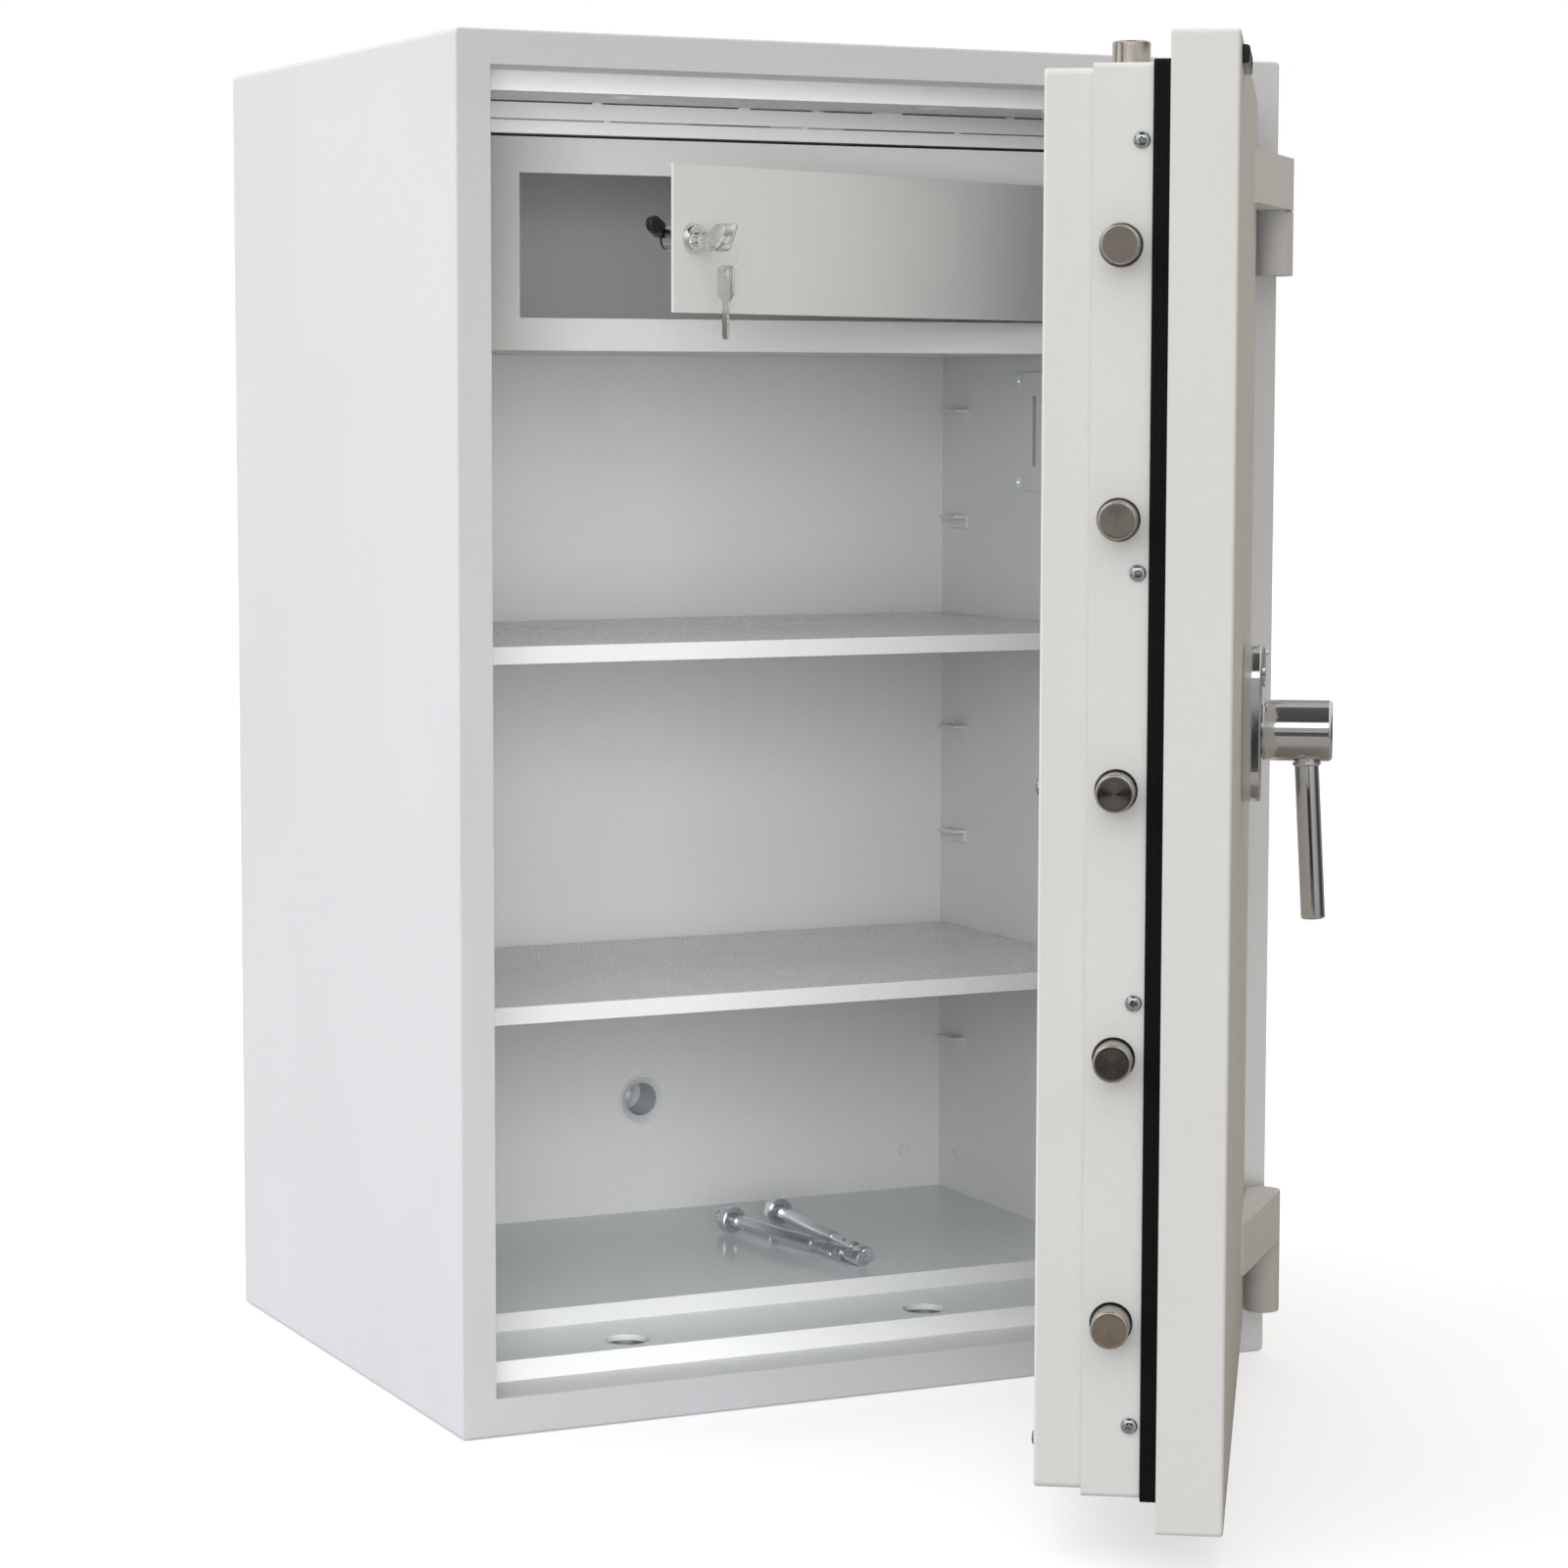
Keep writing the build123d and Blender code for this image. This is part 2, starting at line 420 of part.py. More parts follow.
TIPX = HSX0 - BOLT_OUT
save("latch_bolts", [latch_bolt(TIPX, 72.0, z) for z in BOLT_Z], on_door)

PITCH = math.pi * MOD
RP = MOD * TEETH / 2
ADD, DED, THICK = 1.1, 1.55, PITCH / 2 - 0.22


def rack_teeth(lo, hi, centre):
    """Tooth outline along a line: (position, height above the root line). A gap is centred on `centre`."""
    t20 = math.tan(math.radians(20))
    pts = []
    k0 = math.ceil((lo - centre) / PITCH - 0.5)
    k = k0
    while centre + (k + 0.5) * PITCH + PITCH / 2 < hi:
        c = centre + (k + 0.5) * PITCH
        if c - PITCH / 2 > lo:
            wr = THICK / 2 + DED * t20
            wt = THICK / 2 - ADD * t20
            pts += [(c - wr, 0), (c - wt, DED + ADD), (c + wt, DED + ADD), (c + wr, 0)]
        k += 1
    return pts


# carrier bar of the latch bolts with the horizontal rack above the pinion
car = cut(bx(72, 78, 54, 74, 120, 785), *[cx(70, 80, BOLT_Y, z, 5.95) for z in BOLT_Z])
zr = SPZ + RP + DED
tp = rack_teeth(272, 324, SPX)
outline = [(78, zr + 11), (78, zr)] + [(p, zr - h) for (p, h) in tp] + [(326, zr), (326, zr + 11)]
save("latch_carrier", [car + prism_y(outline, 66, 74)], on_door)

# top bolts, link bar and rack to the right of the pinion
tb = []
for x in VBOLT_X:
    b = cz(x, BOLT_Y, 812, HSZ1 + BOLT_OUT, BOLT_R)
    b = fillet(b.faces().sort_by(Axis.Z)[-1].edges(), 1.2)
    tb.append(b + cz(x, BOLT_Y, 803, 812, 5.9))
save("top_bolts", tb, on_door)
xr = SPX + RP + DED
tp = rack_teeth(448, 500, SPZ)
outline = [(338, 446), (xr, 446)] + [(xr - h, p) for (p, h) in tp] + [(xr, 800), (338, 800)]
link = bx(130, 385, 54, 74, 800, 812)
link = cut(link, *[cz(x, BOLT_Y, 798, 814, 5.95) for x in VBOLT_X])
tbar = link + prism_y(outline, 54, 62) + bx(xr, 338, 62, 96, 536.5, 548)
save("top_link_bar", tbar, on_door)

# bottom bolts, link bar and rack to the left of the pinion
bb = []
BTIP = 25.7
for x in VBOLT_X:
    b = cz(x, BOLT_Y, BTIP, 90, BOLT_R)
    b = fillet(b.faces().sort_by(Axis.Z)[0].edges(), 1.2)
    bb.append(b + cz(x, BOLT_Y, 90, 99, 5.9))
save("bottom_bolts", bb, on_door)
xl = SPX - RP - DED
tp = rack_teeth(430, 478, SPZ)
outline = [(284, 102), (xl, 102)] + [(xl + h, p) for (p, h) in tp] + [(xl, 480), (284, 480)]
link = bx(130, 385, 54, 74, 90, 102)
link = cut(link, *[cz(x, BOLT_Y, 88, 104, 5.95) for x in VBOLT_X])
save("bottom_link_bar", link + prism_y(outline, 54, 62), on_door)


# ---------------- handle, spindle and pinion ----------------
def pinion_outline():
    rb, ra, rr = RP * math.cos(math.radians(20)), RP + ADD, RP - DED
    inv = lambda a: math.tan(a) - a
    half = (PITCH / 2 - 0.22) / 2 / RP
    pts = []
    n = 4
    for t in range(TEETH):
        c = math.pi / 2 + t * 2 * math.pi / TEETH
        flank = []
        for i in range(n + 1):
            r = rb + (ra - rb) * i / n
            th = half + inv(math.radians(20)) - inv(math.acos(min(1.0, rb / r)))
            flank.append((r, th))
        pts.append((rr * math.cos(c - flank[0][1]), rr * math.sin(c - flank[0][1])))
        pts += [(r * math.cos(c - th), r * math.sin(c - th)) for (r, th) in flank]
        pts += [(r * math.cos(c + th), r * math.sin(c + th)) for (r, th) in reversed(flank)]
        pts.append((rr * math.cos(c + flank[0][1]), rr * math.sin(c + flank[0][1])))
    return pts


pin = prism_y([(SPX + x, SPZ + z) for (x, z) in pinion_outline()], 52.5, 76) - cy(SPX, 50, 80, SPZ, 7.0)
save("drive_pinion", pin, on_door)
save("handle_spindle", cy(SPX, -34, 78, SPZ, 7.0), on_door)
boss = cy(SPX, -55.9, -11.8, SPZ, 19.0)
boss = fillet(boss.faces().sort_by(Axis.Y)[0].edges(), 3.0)
boss = fillet(boss.faces().sort_by(Axis.Y)[-1].edges(), 0.8)
LV0, LV1 = Vector(SPX, -39.9 + 0.45, SPZ - 10.0), Vector(SPX, -45.4, 346.0)   # lever axis, root to end
ld = (LV1 - LV0)
lever = Pos(*((LV0 + LV1) * 0.5)) * (Plane(origin=(0, 0, 0), z_dir=ld).location) * Cylinder(7.6, ld.length)
lever_cut = lever
lever = fillet(lever.faces().sort_by(Axis.Z)[0].edges(), 1.6)
boss = boss - cy(SPX, -34, 0, SPZ, 7.0) - lever_cut
save("handle_boss", boss, on_door)
save("handle_lever", lever, on_door)

# ---------------- inner compartment door, modelled shut ----------------
idp = bx(IDX0, IDX1, CY, CY + 2, IDZ0, IDZ1)
idp = cut(idp, bx(476, 540, 100, 150, IDZ0 - 1, IDZ0 + 3.0), bx(476, 540, 100, 150, IDZ1 - 3.0, IDZ1 + 1))
for (z0, z1) in ((IDZ0 + 3.0, IDZ0 + 5.0), (IDZ1 - 5.0, IDZ1 - 3.0)):
    idp = idp + (bx(IHX - 14, IDX1, CY + 2, IHY + 5, z0, z1))
    idp = idp - cz(IHX, IHY, z0 - 1, z1 + 1, 2.05)
idp = idp - cy(LKX, CY - 1, CY + 3, LKZ, 8.0)
save("inner_door_panel", idp, on_inner)
ip = [cz(IHX, IHY, OZ0 - 7.0, IDZ0 + 8.0, 2.0) , cz(IHX, IHY, IDZ1 - 8.0, OZ1 + 7.0, 2.0)]
save("inner_hinge_pins", ip, home)

head = Pos(LKX, CY - 2.2, LKZ) * Rot(90, 0, 0) * Cone(10.0, 8.6, 4.4)
body = head + cy(LKX, CY, 147, LKZ, 7.9)
body = body - cy(LKX, 100, 160, LKZ, 5.55)
save("cam_lock_body", body, on_inner)
nut = Pos(LKX, 0, LKZ) * hexa(CY + 2, CY + 6, 22.0) - cy(LKX, 120, 140, LKZ, 7.95)
save("cam_lock_nut", nut, on_inner)

ca, sa = math.cos(math.radians(CAM_ANG)), math.sin(math.radians(CAM_ANG))
ka, sk = math.cos(math.radians(KEY_ANG)), math.sin(math.radians(KEY_ANG))


def turned(s, ang):
    """Turn a shape built along +Z about the cam lock's axis so that +Z points at `ang` degrees from +X."""
    return Pos(LKX, 0, LKZ) * Rot(0, 90 - ang, 0) * s


KT = 1.6                                  # key thickness
KHY, KHZ = 20.9, 1.8                      # hole in the bow: distance from the shoulder, offset to one side
plug = cy(LKX, CY - 4.6, 151.6, LKZ, 5.5)
plug = plug - turned(bx(-KT / 2 - 0.1, KT / 2 + 0.1, CY - 6, CY + 12, -4.1, 4.1), KEY_ANG)
save("cam_lock_plug", plug, on_inner)
cam = turned(cut(cy(0, 147.2, 149.2, 0, 7.2) + bx(-3.4, 3.4, 147.2, 149.2, 0, 16.6) + cy(0, 147.2, 149.2, 16.6, 3.4), cy(0, 140, 155, 0, 5.5)), CAM_ANG)
capb = cy(0, 145.6, 150.8, 16.6, 5.2) + bx(-5.2, 5.2, 145.6, 150.8, 8.4, 16.6)
cap = turned(capb, CAM_ANG) - cam
save("lock_cam", cam, on_inner)
save("lock_cam_cap", cap, on_inner)


def key_blank(blade):
    """Key in the YZ plane, thin in X: bow towards -Y from the shoulder at y = 0, blade towards +Y."""
    bow = bx(-KT / 2, KT / 2, -25.5, -3.5, -9.6, 9.6)
    bow = chamfer(bow.edges().filter_by(Axis.X).group_by(Axis.Y)[-1], 4.4)
    bow = fillet(bow.edges().filter_by(Axis.X).group_by(Axis.Y)[0], 3.2)
    neck = bx(-KT / 2, KT / 2, -4.5, 0.0, -4.0, 4.0)
    k = bow + neck + bx(-KT / 2, KT / 2, 0, blade, -3.8, 3.8)
    k = k - cx(-5, 5, -KHY, -KHZ, 3.0)
    return k


key = turned(Pos(0, CY - 9.6, 0) * key_blank(19.0), KEY_ANG)
save("lock_key", key, on_inner)

# ring through the bow's hole and the spare key, which hang plumb
HOLE = Vector(LKX - KHZ * ka, CY - 9.6 - KHY, LKZ - KHZ * sk)
c_, s_ = math.cos(math.radians(INNER_OPEN)), math.sin(math.radians(INNER_OPEN))
RING_R, WIRE_R = 9.1, 0.55
YAWR = 47.6                                # ring's plane, turned from the door's plane towards the key
TILTR = 0.0                                # lean of the ring to one side
DROP = 0.4                                 # the wire rests this far below the hole's centre


def ring_place(s):
    """Ring built in the XZ plane round its centre, hung from the hole."""
    return Pos(*HOLE) * Rot(0, 0, -YAWR) * Pos(RING_R * math.sin(math.radians(TILTR)), 0, -DROP - RING_R * math.cos(math.radians(TILTR))) * s


ring = ring_place(Rot(90, 0, 0) * Torus(RING_R, WIRE_R))
save("key_ring", ring, on_inner)
zs = -RING_R - 2.1
spare = ring_place(Pos(0, 0, zs) * Rot(0, 0, 31) * Rot(-90, 0, 0) * Pos(0, KHY, KHZ) * key_blank(21.0))
save("spare_key", spare, on_inner)
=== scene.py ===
import bpy, bmesh, math, json, random
from mathutils import Vector, Matrix

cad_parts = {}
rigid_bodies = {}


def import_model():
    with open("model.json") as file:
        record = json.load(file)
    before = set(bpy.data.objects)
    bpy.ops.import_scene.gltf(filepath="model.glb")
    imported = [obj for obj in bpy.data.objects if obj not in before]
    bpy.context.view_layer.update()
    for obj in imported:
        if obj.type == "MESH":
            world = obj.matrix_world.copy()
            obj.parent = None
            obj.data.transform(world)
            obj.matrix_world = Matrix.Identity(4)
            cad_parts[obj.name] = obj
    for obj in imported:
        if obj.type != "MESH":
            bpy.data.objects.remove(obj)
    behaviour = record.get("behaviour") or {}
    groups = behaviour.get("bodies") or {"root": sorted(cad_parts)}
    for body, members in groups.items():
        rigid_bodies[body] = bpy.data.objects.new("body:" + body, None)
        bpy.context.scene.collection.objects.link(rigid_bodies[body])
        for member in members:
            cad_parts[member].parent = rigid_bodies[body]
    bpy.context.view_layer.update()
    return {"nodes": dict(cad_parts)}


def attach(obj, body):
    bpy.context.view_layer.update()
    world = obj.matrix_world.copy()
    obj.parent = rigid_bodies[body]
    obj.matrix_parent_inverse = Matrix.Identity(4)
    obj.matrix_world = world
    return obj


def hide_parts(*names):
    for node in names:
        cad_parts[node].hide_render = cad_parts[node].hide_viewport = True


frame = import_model()
NODES = frame["nodes"]

# Security safe: door open 57.2 degrees, inner compartment door ajar. Local coordinates
# are millimetres from the cabinet's left front bottom corner, door parts as if shut.
T = lambda x, y, z: Matrix.Translation((x, y, z))
R = lambda a, ax: Matrix.Rotation(math.radians(a), 4, ax)
M_CAB = Matrix.Scale(0.001, 4) @ T(-302, -225, 0)
M_DOOR = M_CAB @ T(594, -12.6, 0) @ R(57.2, 'Z') @ T(-594, 12.6, 0)
M_INNER = M_CAB @ T(521, 134, 0) @ R(23.15, 'Z') @ T(-521, -134, 0)


# ------------------------------------------------------------------ node helpers
class Tree:
    def __init__(self, name):
        self.m = bpy.data.materials.new(name)
        self.m.use_nodes = True
        self.t = self.m.node_tree
        self.t.nodes.clear()
        self.out = self.n('ShaderNodeOutputMaterial')
        self.p = self.n('ShaderNodeBsdfPrincipled')
        self.link(self.p.outputs[0], self.out.inputs[0])

    def n(self, kind, **kw):
        nd = self.t.nodes.new(kind)
        for k, v in kw.items():
            setattr(nd, k, v)
        return nd

    def link(self, a, b):
        self.t.links.new(a, b)

    def coord(self):
        if not hasattr(self, '_c'):
            self._c = self.n('ShaderNodeTexCoord')
        return self._c.outputs['Object']

    def attr(self, name='lp'):
        return self.n('ShaderNodeAttribute', attribute_name=name).outputs['Vector']

    def noise(self, scale, detail=3.0, rough=0.55, vec=None, stretch=None):
        v = vec or self.coord()
        if stretch:
            mp = self.n('ShaderNodeMapping')
            mp.inputs['Scale'].default_value = stretch
            self.link(v, mp.inputs[0])
            v = mp.outputs[0]
        nd = self.n('ShaderNodeTexNoise')
        nd.inputs['Scale'].default_value = scale
        nd.inputs['Detail'].default_value = detail
        nd.inputs['Roughness'].default_value = rough
        self.link(v, nd.inputs['Vector'])
        return nd.outputs[0]

    def rng(self, v, a, b, c, d):
        nd = self.n('ShaderNodeMapRange')
        for i, x in enumerate((a, b, c, d)):
            nd.inputs[i + 1].default_value = x
        self.link(v, nd.inputs[0])
        return nd.outputs[0]

    def math(self, op, a, b=None, c=None):
        nd = self.n('ShaderNodeMath', operation=op)
        for i, x in enumerate((a, b, c)):
            if x is None:
                continue
            if isinstance(x, (int, float)):
                nd.inputs[i].default_value = x
            else:
                self.link(x, nd.inputs[i])
        return nd.outputs[0]

    def mix(self, fac, a, b):
        nd = self.n('ShaderNodeMix', data_type='RGBA')
        for sock, x in ((nd.inputs[0], fac), (nd.inputs[6], a), (nd.inputs[7], b)):
            if isinstance(x, (int, float)):
                sock.default_value = x
            elif isinstance(x, tuple):
                sock.default_value = (*x, 1.0)
            else:
                self.link(x, sock)
        return nd.outputs[2]

    def bump(self, h, strength, dist, normal=None):
        nd = self.n('ShaderNodeBump')
        nd.inputs['Strength'].default_value = strength
        nd.inputs['Distance'].default_value = dist
        self.link(h, nd.inputs['Height'])
        if normal is not None:
            self.link(normal, nd.inputs['Normal'])
        return nd.outputs[0]

    def color(self, c):
        self.link(c, self.p.inputs['Base Color'])

    def rough(self, v):
        self.link(v, self.p.inputs['Roughness'])

    def normal(self, v):
        self.link(v, self.p.inputs['Normal'])


def mul(c, k):
    return tuple(min(1.0, x * k) for x in c)


# top is the darker, cooler colour painted as shade on upward faces when flat is set
def paint(name, col, rough=(0.40, 0.52), bumps=1.0, edge=0.0007, spec=0.45, tint=(0.0, 0.0, 0.0), flat=0.0, top=(0.582, 0.609, 0.629)):
    """Fine textured powder coat: pebbled bump, faint mottling, and a lighter tone along the edges that is a painted
    highlight; with flat, upward faces are smoother and take a darker, cooler tone that is painted shade.
    """
    t = Tree(name)
    big = t.noise(5.0, 2.0)
    mid = t.noise(160.0, 3.0)
    fine = t.noise(620.0, 2.0, 0.6)
    speck = t.noise(1500.0, 1.0, 0.5)
    c = t.mix(t.rng(big, 0.35, 0.65, 0, 1), mul(col, 0.978), mul(tuple(a + b for a, b in zip(col, tint)), 1.018))
    c = t.mix(t.rng(mid, 0.35, 0.65, 0, 0.5), c, mul(col, 0.982))
    c = t.mix(t.rng(fine, 0.55, 0.72, 0, 0.55), c, mul(col, 0.94))
    c = t.mix(t.rng(speck, 0.60, 0.75, 0, 0.35), c, mul(col, 1.07))
    nb = None
    if edge:
        bv = t.n('ShaderNodeBevel', samples=4)
        bv.inputs['Radius'].default_value = edge
        nb = bv.outputs[0]
        geo = t.n('ShaderNodeNewGeometry')
        dp = t.n('ShaderNodeVectorMath', operation='DOT_PRODUCT')
        t.link(nb, dp.inputs[0])
        t.link(geo.outputs['Normal'], dp.inputs[1])
        # lighter colour along the edges, found with the bevel normal: a painted highlight
        painted_edge_highlight = t.rng(dp.outputs['Value'], 0.90, 0.995, 1.0, 0.0)
        c = t.mix(t.math('MULTIPLY', painted_edge_highlight, 0.35), c, mul(col, 1.10))
    t.color(c)
    r = t.rng(fine, 0.3, 0.7, rough[0], rough[1])
    h = t.math('ADD', t.math('MULTIPLY', fine, 0.65), t.math('MULTIPLY', speck, 0.35))
    if flat:
        # faces that look up are smoother, and their colour is swapped for a darker, cooler tone: painted shade on the
        # upward faces
        up = t.n('ShaderNodeSeparateXYZ')
        t.link(t.n('ShaderNodeNewGeometry').outputs['True Normal'], up.inputs[0])
        k = t.rng(up.outputs[2], 0.9, 0.99, 0.0, 1.0)
        r = t.math('SUBTRACT', r, t.math('MULTIPLY', k, flat))
        h = t.math('MULTIPLY', h, t.math('SUBTRACT', 1.0, t.math('MULTIPLY', k, 0.85)))
        c = t.mix(t.math('MULTIPLY', k, 0.85), c, t.mix(t.rng(mid, 0.35, 0.65, 0, 1), mul(top, 0.988), mul(top, 1.012)))
        t.color(c)
    t.rough(t.math('ADD', r, t.rng(big, 0.3, 0.7, -0.03, 0.03)))
    b = t.bump(h, 0.22 * bumps, 0.00035, nb)
    b = t.bump(mid, 0.05 * bumps, 0.0006, b)
    t.normal(b)
    t.p.inputs['Specular IOR Level'].default_value = spec
    return t.m


def metal(name, col, rough=(0.18, 0.30), scratch=0.06, dirt=0.12, stretch=None, rings=False, ring_mm=0.34, ring_k=0.10, blue=None, edge=0.0):
    """Plated or turned metal: fine directional scratches, stains, optional turning rings from the point attribute."""
    t = Tree(name)
    t.p.inputs['Metallic'].default_value = 1.0
    stain = t.noise(70.0, 4.0, 0.6)
    fine = t.noise(900.0, 3.0, 0.6, stretch=stretch)
    c = t.mix(t.rng(stain, 0.4, 0.75, 0, 1), col, mul(blue or col, 1.0 - dirt))
    c = t.mix(t.rng(fine, 0.5, 0.8, 0, 0.4), c, mul(col, 1.12))
    if edge:
        # darker along the cut edges, found with the bevel normal: painted shade
        bv = t.n('ShaderNodeBevel', samples=6)
        bv.inputs['Radius'].default_value = edge
        dp = t.n('ShaderNodeVectorMath', operation='DOT_PRODUCT')
        t.link(bv.outputs[0], dp.inputs[0])
        t.link(t.n('ShaderNodeNewGeometry').outputs['Normal'], dp.inputs[1])
        c = t.mix(t.rng(dp.outputs['Value'], 0.80, 0.99, 0.80, 0.0), c, mul(col, 0.16))
    t.color(c)
    t.rough(t.math('ADD', t.rng(stain, 0.3, 0.7, rough[0], rough[1]), t.rng(fine, 0.3, 0.7, -0.03, 0.05)))
    b = t.bump(fine, scratch, 0.00012)
    if rings:
        a = t.n('ShaderNodeSeparateXYZ')
        t.link(t.attr(), a.inputs[0])
        rad = t.math('SQRT', t.math('ADD', t.math('MULTIPLY', a.outputs[0], a.outputs[0]), t.math('MULTIPLY', a.outputs[1], a.outputs[1])))
        k = 2 * math.pi / ring_mm
        wob = t.math('MULTIPLY', t.noise(0.6, 2.0, vec=t.attr()), 2.5)
        w = t.math('SINE', t.math('ADD', t.math('MULTIPLY', t.math('ADD', rad, a.outputs[2]), k), wob))
        b = t.bump(w, ring_k, 0.00005, b)
    t.normal(b)
    return t.m


# ------------------------------------------------------------------ materials
CASE = (0.655, 0.665, 0.682)
INNER = (0.640, 0.654, 0.642)
DOOR = (0.655, 0.657, 0.636)
m_case = paint('case_powder_coat', CASE)
# the inner paint's upward faces carry the painted shade tone
m_inner = paint('inner_powder_coat', INNER, rough=(0.32, 0.44), bumps=0.8, edge=0.0005, flat=0.20)
m_shelf = paint('shelf_powder_coat', (0.635, 0.645, 0.648), rough=(0.24, 0.34), bumps=0.6, edge=0.0006)
m_door = paint('door_powder_coat', DOOR, rough=(0.38, 0.50), spec=0.28)
# the hinges carry the door paint in two tones: the knuckles slightly darker as painted shade, the arms lighter as
# painted light
m_hinge = paint('hinge_powder_coat_painted_shade', mul(DOOR, 0.96), rough=(0.36, 0.48), bumps=1.2)
m_arm = paint('hinge_arm_powder_coat_painted_light', (0.695, 0.705, 0.705), rough=(0.36, 0.48), bumps=1.2)
m_bolt = metal('turned_nickel', (0.60, 0.565, 0.51), (0.16, 0.26), rings=True, ring_mm=0.30, ring_k=0.16)
# the end faces are a darker copy of the turned nickel: painted dark reflection
m_boltface = metal('turned_nickel_end_painted_dark', (0.42, 0.375, 0.325), (0.06, 0.10), scratch=0.03, rings=True, ring_mm=0.42, ring_k=0.09)
m_chrome = metal('polished_chrome', (0.78, 0.785, 0.80), (0.045, 0.09), scratch=0.015, dirt=0.05)
m_zinc = metal('bright_zinc', (0.80, 0.825, 0.845), (0.17, 0.26), scratch=0.22, dirt=0.07, blue=(0.76, 0.82, 0.87))
m_zinc_flat = metal('zinc_plate', (0.66, 0.68, 0.70), (0.30, 0.45), scratch=0.15, dirt=0.15)
# the key's cut edges carry the painted shade of metal()
m_key = metal('key_nickel', (0.70, 0.69, 0.66), (0.16, 0.28), scratch=0.35, dirt=0.14, edge=0.00042)
m_ring = metal('split_ring_steel', (0.66, 0.67, 0.68), (0.08, 0.16), scratch=0.10, dirt=0.14)
m_screw = metal('screw_zinc', (0.56, 0.585, 0.61), (0.07, 0.14), scratch=0.12, dirt=0.10, blue=(0.50, 0.55, 0.60))
m_brass = metal('turned_brass', (0.74, 0.55, 0.24), (0.20, 0.32), scratch=0.10)
m_hard = metal('hardened_plate', (0.20, 0.21, 0.23), (0.35, 0.5), scratch=0.2)


def rubber():
    t = Tree('fire_strip_black')
    g = t.noise(1100.0, 3.0, 0.7)
    s = t.noise(260.0, 2.0)
    c = t.mix(t.rng(g, 0.62, 0.78, 0, 1), (0.004, 0.004, 0.0045), (0.026, 0.026, 0.028))
    t.color(t.mix(t.rng(s, 0.4, 0.7, 0, 0.5), c, (0.008, 0.008, 0.009)))
    t.rough(t.rng(s, 0.3, 0.7, 0.46, 0.66))
    t.normal(t.bump(g, 0.5, 0.0004))
    t.p.inputs['Specular IOR Level'].default_value = 0.12
    return t.m


def plastic(name, col, rough=(0.3, 0.42)):
    t = Tree(name)
    g = t.noise(900.0, 2.0)
    s = t.noise(120.0, 2.0)
    t.color(t.mix(t.rng(s, 0.4, 0.6, 0, 1), mul(col, 0.92), mul(col, 1.08)))
    t.rough(t.rng(g, 0.3, 0.7, *rough))
    t.normal(t.bump(g, 0.12, 0.0002))
    return t.m


def stone():
    t = Tree('cast_filling')
    g = t.noise(140.0, 5.0, 0.7)
    v = t.n('ShaderNodeTexVoronoi')
    v.inputs['Scale'].default_value = 90.0
    t.link(t.coord(), v.inputs['Vector'])
    c = t.mix(t.rng(g, 0.35, 0.65, 0, 1), (0.26, 0.25, 0.235), (0.40, 0.39, 0.37))
    t.color(t.mix(t.rng(v.outputs[0], 0.0, 0.25, 0.6, 0.0), c, (0.18, 0.175, 0.165)))
    t.rough(t.rng(g, 0.3, 0.7, 0.8, 0.95))
    t.normal(t.bump(g, 0.6, 0.001))
    return t.m


def seat():
    t = Tree('anchor_seat_paint')
    t.p.inputs['Specular IOR Level'].default_value = 0.3
    a = t.n('ShaderNodeSeparateXYZ')
    t.link(t.coord(), a.inputs[0])
    dx, dz = a.outputs[0], t.math('SUBTRACT', a.outputs[2], 0.1374)
    rad = t.math('SQRT', t.math('ADD', t.math('MULTIPLY', dx, dx), t.math('MULTIPLY', dz, dz)))
    g = t.noise(260.0, 3.0)
    # darker, bluish grey towards the middle of the seat: painted shade in the recess
    painted_recess_shade = t.mix(t.rng(g, 0.35, 0.65, 0, 1), (0.495, 0.510, 0.545), (0.525, 0.540, 0.575))
    coat = t.mix(t.rng(g, 0.35, 0.65, 0, 1), mul(INNER, 0.98), mul(INNER, 1.03))
    t.color(t.mix(t.rng(rad, 0.0115, 0.0172, 0.0, 1.0), painted_recess_shade, coat))
    t.rough(t.rng(g, 0.3, 0.7, 0.40, 0.52))
    t.normal(t.bump(t.noise(620.0, 2.0), 0.16, 0.0003))
    return t.m


def shadow_gap():
    # near-black strips that stand in for the shade inside the open seams: painted shadow
    t = Tree('painted_seam_shadow')
    g = t.noise(300.0, 3.0)
    t.color(t.mix(t.rng(g, 0.35, 0.7, 0, 1), (0.035, 0.037, 0.036), (0.085, 0.088, 0.086)))
    t.rough(t.rng(g, 0.3, 0.7, 0.8, 0.95))
    t.normal(t.bump(g, 0.3, 0.0003))
    return t.m


m_seal = rubber()
m_cap = plastic('black_plastic', (0.012, 0.012, 0.013), (0.22, 0.34))
m_plate = plastic('black_enamel_plate', (0.016, 0.016, 0.017), (0.10, 0.18))
m_plug = plastic('grey_plug', (0.60, 0.612, 0.61), (0.30, 0.40))
m_stone = stone()
m_gap = shadow_gap()
m_seat = seat()

